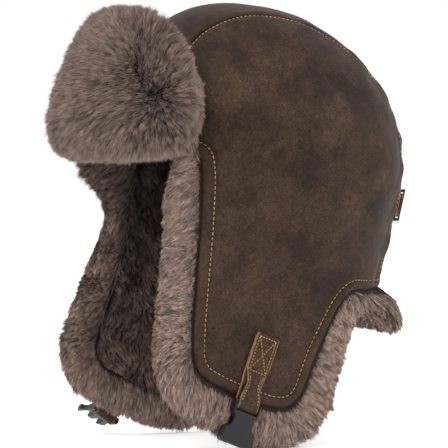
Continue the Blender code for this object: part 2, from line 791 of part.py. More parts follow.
def bar_slot(far):
    """Blocks that leave a square bar with room for the strap's loop round it."""
    reach = STRAP_WIDTH / 2.0 + 0.6
    return (
        ("above_bar", (-reach, -far, -far), (reach, -BAR_RADIUS, far)),
        ("below_bar", (-reach, BAR_RADIUS, -far), (reach, LOOP_ROOM, far)),
        ("bar_front", (-reach, -far, BAR_RADIUS), (reach, LOOP_ROOM, far)),
        ("bar_back", (-reach, -far, -far), (reach, LOOP_ROOM, -BAR_RADIUS)),
    )


def build_socket(body):
    place = strap_place("left", bar_centre("left"))
    half = SOCKET_THICKNESS / 2.0
    vertices, faces = prism(mirrored_outline(SOCKET_HALF_WIDTHS), (-half, half), place)
    socket = make_object("buckle_socket", vertices, faces, BUCKLE, body)
    bevel(socket, 0.9, 2)
    end = SOCKET_HALF_WIDTHS[-1][0]
    wall = half - SOCKET_WALL
    cavity = (
        ("mouth", (-11.0, end - SOCKET_MOUTH_DEPTH + 7.0, -wall), (11.0, end + 4.0, wall)),
        ("throat", (-6.6, end - SOCKET_MOUTH_DEPTH, -wall), (6.6, end - 3.0, wall)),
        ("windows", (-20.0, 10.0, -wall + 0.6), (20.0, 15.5, wall - 0.6)),
    )
    for name, low, high in bar_slot(SOCKET_THICKNESS) + cavity:
        vertices, faces = block(low, high, place)
        cutter = make_object("socket_cut_" + name, vertices, faces, None)
        cut(socket, cutter)


def build_plug(body, prong_bodies):
    place = strap_place("right", bar_centre("right"), PLUG_SWIVEL)
    half = PLUG_THICKNESS / 2.0
    wide = PLUG_HALF_WIDTH
    tongue = ((PLUG_BASE_END, 3.2), (PLUG_BASE_END + PLUG_TONGUE_LENGTH, 2.4))
    outline = mirrored_outline(((-3.0, wide), (PLUG_BASE_END, wide)) + tongue)
    vertices, faces = prism(outline, (-half, half), place)
    plug = make_object("buckle_plug", vertices, faces, BUCKLE, body)
    bevel(plug, 0.6, 1)
    for name, low, high in bar_slot(PLUG_THICKNESS):
        vertices, faces = block(low, high, place)
        cut(plug, make_object("plug_cut_" + name, vertices, faces, None))
    for sign, (name, prong_body) in zip((1.0, -1.0), prong_bodies.items()):
        outline = [(sign * a, PLUG_BASE_END + b) for a, b in PRONG_OUTLINE]
        vertices, faces = prism(outline, (-half + 0.4, half - 0.4), place)
        prong = make_object(name, vertices, faces, BUCKLE, prong_body)
        bevel(prong, 0.4, 1)


def prong_hinge(sign):
    place = strap_place("right", bar_centre("right"), PLUG_SWIVEL)
    return np.array(place(sign * PRONG_HINGE[0], PLUG_BASE_END + PRONG_HINGE[1], 0.0))


# ---------------------------------------------------------------- size adjuster


def back_band(arc, offsets, heights):
    """A band round the back of the head, at two distances out from the leather; arc is in degrees."""
    steps = max(2, round((arc[1] - arc[0]) / 5.0))
    grids = []
    for offset in offsets:
        grid = np.zeros((2, steps + 1, 3))
        for i, z in enumerate(heights):
            radius = ADJUSTER_CONE[0] + ADJUSTER_CONE[1] * (z - ADJUSTER_Z) + offset
            for j, angle in enumerate(np.radians(np.linspace(arc[0], arc[1], steps + 1))):
                grid[i, j] = (radius * math.sin(angle), ADJUSTER_PIVOT_Y + radius * math.cos(angle), z)
        grids.append(grid)
    return closed_patch(grids[1], grids[0])


def build_tunnel(name, arc, wall, finish):
    """A flat tube that the adjuster strap slides through."""
    room = ADJUSTER_WIDTH / 2.0 + 0.7
    outer = room + wall
    walls = (TUNNEL_INNER[0], TUNNEL_OUTER[1])
    vertices, faces = back_band(arc, walls, (ADJUSTER_Z - outer, ADJUSTER_Z + outer))
    tube = make_object(name, vertices, faces, finish)
    opening = (TUNNEL_INNER[1], TUNNEL_OUTER[0])
    longer = (arc[0] - 2.0, arc[1] + 2.0)
    vertices, faces = back_band(longer, opening, (ADJUSTER_Z - room, ADJUSTER_Z + room))
    cut(tube, make_object(name + "_cut", vertices, faces, None))


def build_adjuster(body):
    half = ADJUSTER_WIDTH / 2.0
    heights = (ADJUSTER_Z - half, ADJUSTER_Z + half)
    vertices, faces = back_band(ADJUSTER_ARC, STRAP_BAND, heights)
    make_object("adjuster_strap", vertices, faces, TRIM, body)
    vertices, faces = back_band(ANCHOR_ARC, TUNNEL_INNER, heights)
    make_object("adjuster_anchor", vertices, faces, TRIM)
    build_tunnel("adjuster_ring", RING_ARC, 2.2, RING)
    build_tunnel("adjuster_keeper", KEEPER_ARC, 1.8, TRIM)


def main():
    clear_scene()
    build_crown()
    build_sweatband()
    build_neck_edge()
    visor = make_body("visor", VISOR_HINGE)
    build_visor(visor)
    for side in ("left", "right"):
        sign = 1.0 if side == "left" else -1.0
        build_temple_fur(side)
        front = np.array(FLAP_HINGE_FRONT) * np.array([sign, 1.0, 1.0])
        flap = make_body("flap_" + side, front)
        build_flap(side, flap)
        build_tab(side, flap)
        strap = make_body("chin_strap_" + side, strap_hinge(side))
        build_strap(side, strap)
    build_socket(make_body("buckle_socket", bar_centre("left")))
    prongs = {
        "plug_prong_back": make_body("plug_prong_back", prong_hinge(1.0)),
        "plug_prong_front": make_body("plug_prong_front", prong_hinge(-1.0)),
    }
    build_plug(make_body("buckle_plug", bar_centre("right")), prongs)
    build_adjuster(make_body("adjuster", (0.0, ADJUSTER_PIVOT_Y, ADJUSTER_Z)))


main()
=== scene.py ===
"""The looks of the trapper hat: mottled leather, strand fur, stitching, straps and buckle.

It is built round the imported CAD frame. Sizes are in millimetres and become metres in the meshes.
The wearer looks along -Y, the wearer's left is +X, and the hat's surface is the one that the CAD
model has, at a finer resolution.
"""

import math

import bpy
import numpy as np
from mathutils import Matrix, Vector, kdtree


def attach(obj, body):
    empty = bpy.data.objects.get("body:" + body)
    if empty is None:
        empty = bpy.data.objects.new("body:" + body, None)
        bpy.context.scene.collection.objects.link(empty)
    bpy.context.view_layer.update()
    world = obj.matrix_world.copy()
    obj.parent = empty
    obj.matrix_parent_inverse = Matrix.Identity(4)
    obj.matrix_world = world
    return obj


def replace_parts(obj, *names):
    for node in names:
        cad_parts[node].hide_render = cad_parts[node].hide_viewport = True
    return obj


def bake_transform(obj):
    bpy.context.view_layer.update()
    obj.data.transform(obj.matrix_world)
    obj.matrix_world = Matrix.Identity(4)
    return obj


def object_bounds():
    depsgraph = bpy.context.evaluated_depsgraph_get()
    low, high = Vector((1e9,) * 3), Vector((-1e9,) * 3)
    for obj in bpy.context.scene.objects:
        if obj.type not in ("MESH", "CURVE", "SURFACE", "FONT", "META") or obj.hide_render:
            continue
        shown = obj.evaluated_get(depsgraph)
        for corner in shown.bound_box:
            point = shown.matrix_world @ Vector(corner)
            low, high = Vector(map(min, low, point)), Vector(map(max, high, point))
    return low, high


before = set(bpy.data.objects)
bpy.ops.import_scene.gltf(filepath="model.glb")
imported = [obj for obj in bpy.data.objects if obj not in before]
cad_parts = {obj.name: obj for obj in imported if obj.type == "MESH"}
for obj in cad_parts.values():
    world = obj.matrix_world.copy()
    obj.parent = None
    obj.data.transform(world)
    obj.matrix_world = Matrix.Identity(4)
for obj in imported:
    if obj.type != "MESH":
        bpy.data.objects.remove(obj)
cad_box = [list(corner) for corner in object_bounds()]

MM = 0.001

# Crown
HALF_WIDTH = 95.0
DOME_HEIGHT = 122.0
APEX_Y = -22.0
BACK_REACH = 134.0
FRONT_REACH = 90.0
FRONT_ROUNDNESS = 2.6
FOREHEAD_Z = 13.0
NAPE_Z = -91.0
NAPE_INSET = 22.0
SKIRT_INSET = 7.0
FLATTEN_DEPTH = 130.0
STRIP_HALF_WIDTHS = (37.0, 42.0, 56.0)  # forehead, top, nape
STRIP_SWELL = 8.0  # over the back of the crown

LEATHER_THICKNESS = 2.0
LINING_DEPTH = 8.4
FUR_ROOT_DEPTH = 10.5  # where the hide of the fur lining lies, in from the leather's face

# Side view (y, z) of the left side's edges
TEMPLE_EDGE = ((-101.0, 13.0), (-91.0, 13.0), (-84.0, 10.0), (-82.0, 0.0), (-83.0, -15.0), (-84.5, -30.0))
FLAP_FRONT = (
    (-84.5, -30.0), (-86.5, -49.0), (-91.5, -84.0), (-97.5, -117.0), (-98.5, -136.0), (-93.0, -148.0)
)
FLAP_BOTTOM = (
    (-93.0, -148.0), (-82.0, -155.0), (-69.0, -161.0), (-39.0, -172.0), (-22.0, -172.5), (-11.0, -163.0)
)
FLAP_BACK = ((-11.0, -163.0), (0.0, -138.0), (12.0, -115.5), (23.0, -99.5), (32.0, -92.0), (38.0, -90.0))
HEM_WIDTH = 7.8

FUR_THICKNESS = 20.0
FLAP_FUR_WIDTHS = {  # from the fold's front end, round the flap, to its back end
    "left": (27.0, 26.0, 27.0, 29.0, 28.0, 24.0, 20.0),
    "right": (15.0, 25.0, 27.0, 25.0, 24.0, 24.0, 20.0),
}
NAPE_FUR_WIDTHS = (22.0, 31.0, 31.0, 31.0, 31.0, 31.0, 22.0)
NAPE_FUR_THICKNESS = (20.0, 34.0, 34.0, 34.0, 34.0, 34.0, 20.0)
FUR_PROUD = 1.6  # how far the fur stands above the leather's edge
NAPE_FUR_PROUD = (1.6, 13.0, 13.0, 13.0, 13.0, 13.0, 1.6)
TEMPLE_FUR_TOP = ((-87.0, 26.0), (-84.0, 10.0))  # the temple fur starts up behind the visor
TEMPLE_FUR_WIDTHS = {"left": (14.0, 22.0, 30.0, 27.0), "right": (40.0, 43.0, 37.0, 15.0)}
TEMPLE_ROWS, FLAP_ROWS = 34, 150  # places along the fur edge
TEMPLE_FUR_WAY = np.array([0.10, -0.90, -0.30])  # forwards and down, behind the visor
FLAP_MIDDLE = np.array([88.0, -40.0, -110.0])

# Visor
VISOR_HALF_ARC = math.radians(41.0)
VISOR_FUR_HALF_ARC = math.radians(45.0)
VISOR_HEIGHTS = (13.6, 109.0)
VISOR_FUR_HEIGHTS = (6.0, 125.0)
VISOR_TOP_ROLL = 15.0  # how far the fur falls from its crest to the visor's back
VISOR_CORNERS = (9.0, 40.0)
VISOR_BARREL = 0.055  # how much narrower the visor is at its top and bottom
VISOR_LEAVES_CROWN_Z = 70.0
VISOR_LEAN = 0.36
VISOR_FACING = (1.6, 8.2)  # how far out from the crown, and how thick
VISOR_FUR_BACK = 10.6
VISOR_FUR_EDGE = 16.0
VISOR_FUR_PROUD = (53.0, 46.0)
PARTING = ((0.54, 0.64), (0.74, 0.46))  # its ends (u, v) on the visor

# Straps and buckle
TAB_CENTRE = (-46.0, -134.0)
TAB_SIZE = (19.0, 29.0, 4.0)
STRAP_THICKNESS = 1.8
STRAP_TILT = {"left": math.radians(21.0), "right": math.radians(34.0)}
STRAP_LENGTH = {"left": 25.0, "right": 50.0}
LOOP_RADIUS = 2.3
TAB_LIFT = 0.8
TAB_FACE, STRAP_BACK = 2.9, 0.95  # heights of the strap's two layers above the tab's base
CHIN_STRAP_WAIST = (  # place down the strap, half-width
    (-29.0, 9.0), (-27.5, 9.6), (-6.0, 9.5), (-1.0, 8.6), (4.0, 6.2), (8.0, 5.4), (12.0, 6.2), (18.0, 8.4)
)
BOX_HALF_WIDTH = 6.9  # of the crossed box seam
STITCH_INSET = 2.0  # of the seams along a strap's edges

# Adjuster
ADJUSTER_Z = -28.0
ADJUSTER_PIVOT_Y = 25.5
ADJUSTER_CONE = (81.65, 0.217)
ADJUSTER_STRIPS = (  # name, first and last angle, which end is cut to a taper, offset, body
    ("adjuster_strap", (-30.0, 31.0), 0, 2.8, "adjuster"),
    ("adjuster_anchor", (25.6, 38.5), 1, 1.25, "root"),
)
ADJUSTER_STRIP_SIZE = (9.0, 1.5)  # half-width, thickness
KEEPER_ANGLE = -17.0
KEEPER_ARCH = ((-12.6, 0.3), (-11.9, 2.6), (-9.6, 4.5), (0.0, 4.8), (9.6, 4.5), (11.9, 2.6), (12.6, 0.3))
SWEATBAND_Z, SWEATBAND_DEPTH = 27.5, 13.3

CROWN_STITCH_OFFSET = 2.2  # from the seam, on the side panel
QUILT_PITCH = 34.0
QUILT_THICKNESS, QUILT_RISE = 0.6, 2.2

# Fur: how many hairs, and their width, unevenness and tufts (share of leaders, pull)
EDGE_HAIRS = {"count": 38000, "width": 0.42, "jitter": 0.62, "clump": (0.07, (0.25, 0.85))}
NAPE_HAIRS = {"count": 39000, "width": 0.45, "jitter": 0.7, "clump": (0.07, (0.25, 0.85))}
BROW_HAIRS = {"count": 38000, "width": 0.40, "jitter": 0.8, "clump": (0.055, (0.25, 0.85))}
LINING_HAIRS = {"width": 0.55, "jitter": 1.5, "clump": (0.045, (0.20, 0.75)), "slot": "fur_lining"}
HAIR_STEPS = (0.0, 0.42, 0.76)  # places along a hair: two quads, and then a pointed tip
HAIR_TAPER = (1.0, 1.0, 0.62)
HAIR_LENGTHS = (0.82, 1.06)  # of the full length
LONG_SHARE, LONG_LENGTHS = 0.13, (1.04, 1.24)
LINING_FUR_DEPTHS = (15.2, 16.6)  # of the bend and the tip, in from the leather's face
LINING_FUR_LEAN = (1.5, 6.5)

CAMERA_AZIMUTH, CAMERA_ELEVATION = 62.0, 1.0
CAMERA_DISTANCE = 2.5
CAMERA_LENS = 268.0
CAMERA_AIM = (-0.0255, -0.042)  # to the camera's right and up from the origin, in metres
LIGHTS = (  # name, azimuth, elevation, distance, size, power
    ("key", 20.0, 50.0, 1.6, 1.2, 16.0),
    ("fill", 120.0, 25.0, 1.8, 1.4, 7.0),
)
FLOOR_REACH, FLOOR_GAP = 6, 0.001

SIDES = ("left", "right")
FLIP = np.array([-1.0, 1.0, 1.0])
DOWN = np.array([0.0, 0.0, -1.0])


# ---------------------------------------------------------------- small maths


def smoothstep(t):
    t = np.clip(t, 0.0, 1.0)
    return t * t * (3.0 - 2.0 * t)


def bell(distance, centre, width):
    """1 at the centre, falling away smoothly on both sides."""
    return np.exp(-(((distance - centre) / width) ** 2))


def averaged(values, reach):
    """Each value becomes the mean of itself and its neighbours."""
    span = 2 * reach + 1
    return np.convolve(np.pad(values, reach, mode="edge"), np.ones(span) / span, mode="valid")


def unit(vectors):
    vectors = np.asarray(vectors, float)
    return vectors / np.maximum(np.linalg.norm(vectors, axis=-1, keepdims=True), 1e-9)


def across_from(vectors, normals):
    """The part of each vector that lies in the surface with those normals, at unit length."""
    return unit(vectors - normals * np.sum(vectors * normals, axis=-1, keepdims=True))


def mirrored(points, side):
    return points if side == "left" else points * FLIP


def evenly(points, count):
    points = np.asarray(points, float)
    steps = np.linalg.norm(np.diff(points, axis=0), axis=1)
    along = np.concatenate([[0.0], np.cumsum(steps)])
    targets = np.linspace(0.0, along[-1], count)
    return np.stack([np.interp(targets, along, points[:, k]) for k in range(points.shape[1])], axis=1)


def length_of(points):
    return float(np.linalg.norm(np.diff(points, axis=0), axis=1).sum())


def curve_through(points, count):
    """A smooth Catmull-Rom curve through the points, evenly spaced."""
    points = np.array(points, float)
    padded = np.vstack([2 * points[0] - points[1], points, 2 * points[-1] - points[-2]])
    t = np.linspace(0.0, 1.0, 24, endpoint=False)[:, None]
    dense = []
    for i in range(1, len(padded) - 2):
        p0, p1, p2, p3 = padded[i - 1 : i + 3]
        linear, square = (p2 - p0) * t, (2 * p0 - 5 * p1 + 4 * p2 - p3) * t**2
        dense.append(0.5 * (2 * p1 + linear + square + (3 * p1 - p0 - 3 * p2 + p3) * t**3))
    dense.append(points[-1:])
    return evenly(np.vstack(dense), count)


def coons(top, bottom, left, right):
    """Points of a four-sided patch from its edges: rows run top to bottom, columns left to right."""
    v = np.linspace(0.0, 1.0, len(left))[:, None, None]
    u = np.linspace(0.0, 1.0, len(top))[None, :, None]
    corners = (1 - u) * (1 - v) * top[0] + u * (1 - v) * top[-1]
    corners = corners + (1 - u) * v * bottom[0] + u * v * bottom[-1]
    return (1 - v) * top[None] + v * bottom[None] + (1 - u) * left[:, None] + u * right[:, None] - corners


def spread(values, count):
    return np.interp(np.linspace(0, len(values) - 1, count), range(len(values)), values)


def ripple(points, wavelength, seed):
    """Smooth random waves over space, about -1 to 1."""
    rng = np.random.default_rng(seed)
    total = np.zeros(points.shape[:-1])
    for _ in range(7):
        way = unit(rng.normal(size=3))
        scale = 2.0 * math.pi / (wavelength * rng.uniform(0.6, 1.6))
        total += np.sin(points @ way * scale + rng.uniform(0.0, 2.0 * math.pi))
    return total / 4.0


# ---------------------------------------------------------------- the hat's surface


def section(y, z):
    """Half-width, half-length and centre of the outline at height z, on y's side of it."""
    y, z = np.broadcast_arrays(np.asarray(y, float), np.asarray(z, float))
    q = np.clip(z / DOME_HEIGHT, 0.0, 1.0)
    round_part = np.sqrt(1.0 - q * q)
    full_part = (1.0 - q**FRONT_ROUNDNESS) ** (1.0 / FRONT_ROUNDNESS)
    back, front = APEX_Y + BACK_REACH * round_part, APEX_Y - FRONT_REACH * full_part
    depth = np.clip(z / NAPE_Z, 0.0, 1.15)
    skirt_back = BACK_REACH + APEX_Y - NAPE_INSET * depth**1.3
    curve = np.clip(1.0 + z / FLATTEN_DEPTH, 0.02, 1.0)
    skirt = np.where(y > 0.0, skirt_back, (FRONT_REACH - APEX_Y) / np.sqrt(curve))
    dome = z >= 0.0
    half_width = np.where(
        dome,
        HALF_WIDTH * (0.59 * round_part + 0.41 * full_part),
        HALF_WIDTH - SKIRT_INSET * smoothstep(-z / 100.0),
    )
    return half_width, np.where(dome, (back - front) / 2.0, skirt), np.where(dome, (back + front) / 2.0, 0.0)


def outside(x, y, z):
    """Below 0 inside the hat's outer surface, above 0 outside it."""
    half_width, half_length, centre = section(y, z)
    inside = (x / np.maximum(half_width, 1e-6)) ** 2 + ((y - centre) / np.maximum(half_length, 1e-6)) ** 2
    return np.where(z >= DOME_HEIGHT, 1.0, inside - 1.0)


def side_x(y, z):
    half_width, half_length, centre = section(y, z)
    return half_width * np.sqrt(np.maximum(0.0, 1.0 - ((y - centre) / half_length) ** 2))


def normal_at(points):
    """Outward unit normals of the outer surface."""
    x, y, z = points[..., 0], points[..., 1], np.minimum(points[..., 2], DOME_HEIGHT - 0.8)
    step = 0.4
    gradient = (
        outside(x + step, y, z) - outside(x - step, y, z),
        outside(x, y + step, z) - outside(x, y - step, z),
        outside(x, y, z + step) - outside(x, y, z - step),
    )
    return unit(np.stack(gradient, axis=-1))


def crown_point(x, angle):
    """Where rays in planes of constant x, at an angle up from straight back, meet the crown."""
    x, angle = np.broadcast_arrays(np.asarray(x, float), np.asarray(angle, float))
    low, high = np.zeros(x.shape), np.full(x.shape, 200.0)
    for _ in range(40):
        middle = (low + high) / 2.0
        within = outside(x, middle * np.cos(angle), middle * np.sin(angle)) < 0.0
        low, high = np.where(within, middle, low), np.where(within, high, middle)
    return np.stack([x, low * np.cos(angle), low * np.sin(angle)], axis=-1)


def strip_half_width(v):
    top = STRIP_HALF_WIDTHS[0] + (STRIP_HALF_WIDTHS[1] - STRIP_HALF_WIDTHS[0]) * smoothstep(v / 0.4)
    swell = STRIP_SWELL * np.sin(math.pi * np.clip((v - 0.25) / 0.7, 0.0, 1.0)) ** 2
    return top + (STRIP_HALF_WIDTHS[2] - STRIP_HALF_WIDTHS[1]) * smoothstep((v - 0.7) / 0.3) + swell


def strip_point(v, x):
    """The crown at v from forehead (0) to nape (1), x from the middle."""

    def angle(probe, z):
        half_width, half_length, centre = section(probe, z)
        return np.arctan2(z, centre + probe * half_length * np.sqrt(1.0 - (x / half_width) ** 2))

    front, back = angle(-1.0, FOREHEAD_Z), angle(1.0, NAPE_Z)
    return crown_point(x, front + v * (back - front))


def on_side(grid):
    """Side-view points (y, z) put on the left outer surface."""
    return np.stack([side_x(grid[..., 0], grid[..., 1]), grid[..., 0], grid[..., 1]], axis=-1)


def strip_grid(low, high, rows, columns, most=200.0):
    """Places over the centre strip between two shares of its length, and the shares."""
    v = np.linspace(low, high, rows)[:, None]
    half = np.minimum(strip_half_width(v), most)
    return strip_point(v, half * np.linspace(-1.0, 1.0, columns)[None, :]), v


def seam_curve(count):
    v = np.linspace(0.0, 1.0, count)
    return strip_point(v, strip_half_width(v))


def flap_outline(count):
    """Side view of the flap's free edge, from the fold's front end round to its back end."""
    return curve_through(FLAP_FRONT + FLAP_BOTTOM[1:] + FLAP_BACK[1:], count)


def nape_outline(count):
    """Side view of the nape hem, from the flap to the seam."""
    end = seam_curve(3)[-1, 1:]
    return evenly([FLAP_BACK[-1], ((end[0] + FLAP_BACK[-1][0]) / 2.0, NAPE_Z), end], count)


def free_edge():
    """Side view of the left leather's whole free edge: temple, flap and nape."""
    temple = curve_through(TEMPLE_EDGE, 60)
    return np.vstack([temple, flap_outline(240)[1:], nape_outline(40)[1:]])


# ---------------------------------------------------------------- meshes


def placed(name, data):
    """An object of that data, in the scene."""
    obj = bpy.data.objects.new(name, data)
    bpy.context.scene.collection.objects.link(obj)
    return obj


def new_mesh(name, points, faces, material, body=None):
    """A mesh from points in millimetres; it rides on the body, if one is given."""
    mesh = bpy.data.meshes.new(name)
    mesh.from_pydata((np.asarray(points) * MM).tolist(), [], [list(face) for face in faces])
    mesh.shade_smooth()
    mesh.materials.append(material)
    obj = placed(name, mesh)
    if body:
        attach(obj, body)
    return obj


def grid_faces(rows, columns, start=0, wrap=False):
    faces = []
    for i in range(rows - 1):
        for j in range(columns if wrap else columns - 1):
            a, b = start + i * columns + j, start + i * columns + (j + 1) % columns
            faces.append((a, b, b + columns, a + columns))
    return faces


def tube_faces(rows, columns):
    """Faces of a closed tube: rings of points, and a cap at each end."""
    caps = [tuple(range(columns - 1, -1, -1)), tuple(range((rows - 1) * columns, rows * columns))]
    return grid_faces(rows, columns, wrap=True) + caps


def shell(grid, thickness, normals):
    """Points and faces of a closed sheet: the grid is its outer face."""
    rows, columns = grid.shape[:2]
    count = rows * columns
    inner = grid - normals * thickness
    faces = grid_faces(rows, columns)
    faces += [tuple(k + count for k in reversed(face)) for face in faces]
    rim = list(range(columns)) + [i * columns + columns - 1 for i in range(1, rows)]
    rim += [(rows - 1) * columns + j for j in range(columns - 2, -1, -1)]
    rim += [i * columns for i in range(rows - 2, 0, -1)]
    for a, b in zip(rim, rim[1:] + rim[:1]):
        faces.append((b, a, a + count, b + count))
    return np.vstack([grid.reshape(-1, 3), inner.reshape(-1, 3)]), faces


def set_value(obj, name, values):
    """A number on each point, which the material reads."""
    attribute = obj.data.attributes.new(name, "FLOAT", "POINT")
    attribute.data.foreach_set("value", np.asarray(values, np.float32))


def set_wear_and_painted_shade(obj, wear, painted_shade):
    """Where the leather is rubbed, and where shade is painted into it, the same on both faces of a shell."""
    set_value(obj, "wear", np.tile(wear.ravel(), 2))
    set_value(obj, "painted_shade", np.clip(np.tile(painted_shade.ravel(), 2), 0.0, 1.0))


def joined(parts):
    """One list of points and faces from several."""
    points, faces, start = [], [], 0
    for some_points, some_faces in parts:
        points.append(np.asarray(some_points, float))
        faces += [tuple(k + start for k in face) for face in some_faces]
        start += len(some_points)
    return np.vstack(points), faces


def nearest_distance(points, line):
    """Distance of each point (n, k) to a dense polyline (m, k), and the index of its nearest point."""
    out, index = np.zeros(len(points)), np.zeros(len(points), int)
    for start in range(0, len(points), 2000):
        gap = points[start : start + 2000, None] - line[None]
        distance = np.linalg.norm(gap, axis=2)
        index[start : start + 2000] = distance.argmin(1)
        out[start : start + 2000] = distance.min(1)
    return out, index


# ---------------------------------------------------------------- materials

THREAD_COLOURS = ((0.19, 0.100, 0.034), (0.42, 0.245, 0.092))
LINING_COLOURS = ((0.030, 0.022, 0.019), (0.070, 0.052, 0.044))
# painted shade: the near-black colour that the leather is darkened towards in seams, stitch grooves and
# along its edges
PAINTED_SHADE_COLOUR = (0.012, 0.009, 0.007)


def node_of(tree, kind, inputs=None, **settings):
    """A shader node; an input may be a plain value or another node's output."""
    made = tree.nodes.new("ShaderNode" + kind)
    for key, value in settings.items():
        setattr(made, key, value)
    for key, value in (inputs or {}).items():
        if isinstance(value, bpy.types.NodeSocket):
            tree.links.new(value, made.inputs[key])
        else:
            made.inputs[key].default_value = value
    return made


def start_material(name, **plain):
    material = bpy.data.materials.new(name)
    material.use_nodes = True
    tree = material.node_tree
    shader = tree.nodes["Principled BSDF"]
    for key, value in plain.items():
        shader.inputs[key.replace("_", " ")].default_value = value
    return material, tree, shader


def noise(tree, scale, detail=4.0, roughness=0.55, distortion=0.0):
    where = node_of(tree, "TexCoord").outputs["Object"]
    inputs = {"Vector": where, "Scale": scale, "Detail": detail, "Roughness": roughness}
    return node_of(tree, "TexNoise", inputs | {"Distortion": distortion}).outputs[0]


def link_base(tree, colour, shader):
    tree.links.new(colour, shader.inputs["Base Color"])


def ramp(tree, value, stops):
    made = node_of(tree, "ValToRGB", {"Fac": value})
    while len(made.color_ramp.elements) < len(stops):
        made.color_ramp.elements.new(0.5)
    for element, (place, colour) in zip(made.color_ramp.elements, stops):
        element.position = place
        element.color = (*colour, 1.0)
    return made.outputs[0]


def mixed(tree, share, first, second, mode="MIX"):
    made = node_of(tree, "Mix", data_type="RGBA", blend_type=mode)
    for index, value in ((0, share), (6, first), (7, second)):
        if isinstance(value, bpy.types.NodeSocket):
            tree.links.new(value, made.inputs[index])
        else:
            made.inputs[index].default_value = value if index == 0 else (*value, 1.0)
    return made.outputs[2]


def value_range(tree, value, low, high, to_low, to_high):
    inputs = {"Value": value, "From Min": low, "From Max": high, "To Min": to_low, "To Max": to_high}
    return node_of(tree, "MapRange", inputs).outputs[0]


def times(tree, first, second):
    return node_of(tree, "Math", {0: first, 1: second}, operation="MULTIPLY").outputs[0]


def bump(tree, shader, layers):
    """Stacked bumps: each layer is (height, strength, distance in metres)."""
    normal = None
    for height, strength, distance in layers:
        inputs = {"Height": height, "Strength": strength, "Distance": distance}
        if normal is not None:
            inputs["Normal"] = normal
        normal = node_of(tree, "Bump", inputs).outputs[0]
    tree.links.new(normal, shader.inputs["Normal"])


def leather_material(name, dark, middle, golden, worn):
    """Distressed suede-finish leather: cloudy patches, fine nap speckle, rubbed edges, and painted shade in
    its seams, stitch grooves and along its edges.
    """
    material, tree, shader = start_material(
        name,
        Specular_IOR_Level=0.13,
        Sheen_Weight=0.07,
        Sheen_Roughness=0.45,
        Sheen_Tint=(0.62, 0.55, 0.50, 1.0),
    )
    clouds = noise(tree, 16.0, 6.0, 0.62, 0.15)
    patches = noise(tree, 24.0, 8.0, 0.68, 0.25)
    speckle = noise(tree, 900.0, 2.0, 0.7)
    nap = noise(tree, 260.0, 5.0, 0.7)
    base = ramp(tree, clouds, ((0.36, dark), (0.52, middle), (0.68, dark)))
    gold = value_range(tree, patches, 0.48, 0.70, 0.0, 0.72)
    base = mixed(tree, gold, base, golden)
    fine = ramp(tree, speckle, ((0.30, (0.42, 0.42, 0.42)), (0.70, (1.58, 1.55, 1.50))))
    base = mixed(tree, 1.0, base, fine, "MULTIPLY")
    soft = ramp(tree, nap, ((0.32, (0.74, 0.74, 0.75)), (0.70, (1.26, 1.25, 1.22))))
    base = mixed(tree, 1.0, base, soft, "MULTIPLY")
    rubbed = node_of(tree, "Attribute", attribute_name="wear").outputs["Fac"]
    broken = times(tree, rubbed, value_range(tree, nap, 0.35, 0.62, 0.25, 1.0))
    base = mixed(tree, broken, base, worn)
    # painted shade: a point attribute darkens the leather towards a near-black colour in seams, stitch
    # grooves and along its edges
    painted_shade = node_of(tree, "Attribute", attribute_name="painted_shade").outputs["Fac"]
    base = mixed(tree, painted_shade, base, PAINTED_SHADE_COLOUR)
    link_base(tree, base, shader)
    tree.links.new(value_range(tree, patches, 0.3, 0.7, 0.56, 0.74), shader.inputs["Roughness"])
    bump(tree, shader, ((nap, 0.30, 0.0007), (speckle, 0.22, 0.0003)))
    return material


def plastic_material(name, colour):
    """Matte moulded nylon with a fine eroded texture."""
    material, tree, shader = start_material(name, Specular_IOR_Level=0.30)
    grain = noise(tree, 1500.0, 2.0, 0.6)
    tone = noise(tree, 60.0, 3.0, 0.5)
    light = tuple(c * 1.35 for c in colour)
    link_base(tree, ramp(tree, tone, ((0.35, colour), (0.65, light))), shader)
    tree.links.new(value_range(tree, tone, 0.3, 0.7, 0.36, 0.50), shader.inputs["Roughness"])
    bump(tree, shader, ((grain, 0.25, 0.0002),))
    return material


def thread_material():
    material, tree, shader = start_material("stitch_thread", Roughness=0.62)
    tone = noise(tree, 210.0, 3.0, 0.6)
    link_base(tree, ramp(tree, tone, ((0.35, THREAD_COLOURS[0]), (0.62, THREAD_COLOURS[1]))), shader)
    bump(tree, shader, ((noise(tree, 2600.0, 1.0), 0.5, 0.0002),))
    return material


def lining_material():
    """Satin lining cloth with a fine plain weave."""
    material, tree, shader = start_material("lining_cloth", Roughness=0.55, Sheen_Weight=0.3)
    where = node_of(tree, "TexCoord").outputs["Object"]
    inputs = {"Vector": where, "Scale": 480.0, "Distortion": 1.2}
    weave = [node_of(tree, "TexWave", inputs, bands_direction=way).outputs[1] for way in ("Y", "Z")]
    cloth = times(tree, *weave)
    link_base(tree, ramp(tree, cloth, ((0.1, LINING_COLOURS[0]), (0.8, LINING_COLOURS[1]))), shader)
    bump(tree, shader, ((cloth, 0.4, 0.0003),))
    return material


def undercoat_material(name, dark, light):
    """The dense short wool under the long hairs."""
    material, tree, shader = start_material(name, Roughness=0.95)
    tufts = noise(tree, 190.0, 6.0, 0.75, 0.6)
    link_base(tree, ramp(tree, tufts, ((0.35, dark), (0.68, light))), shader)
    bump(tree, shader, ((tufts, 1.0, 0.002),))
    return material


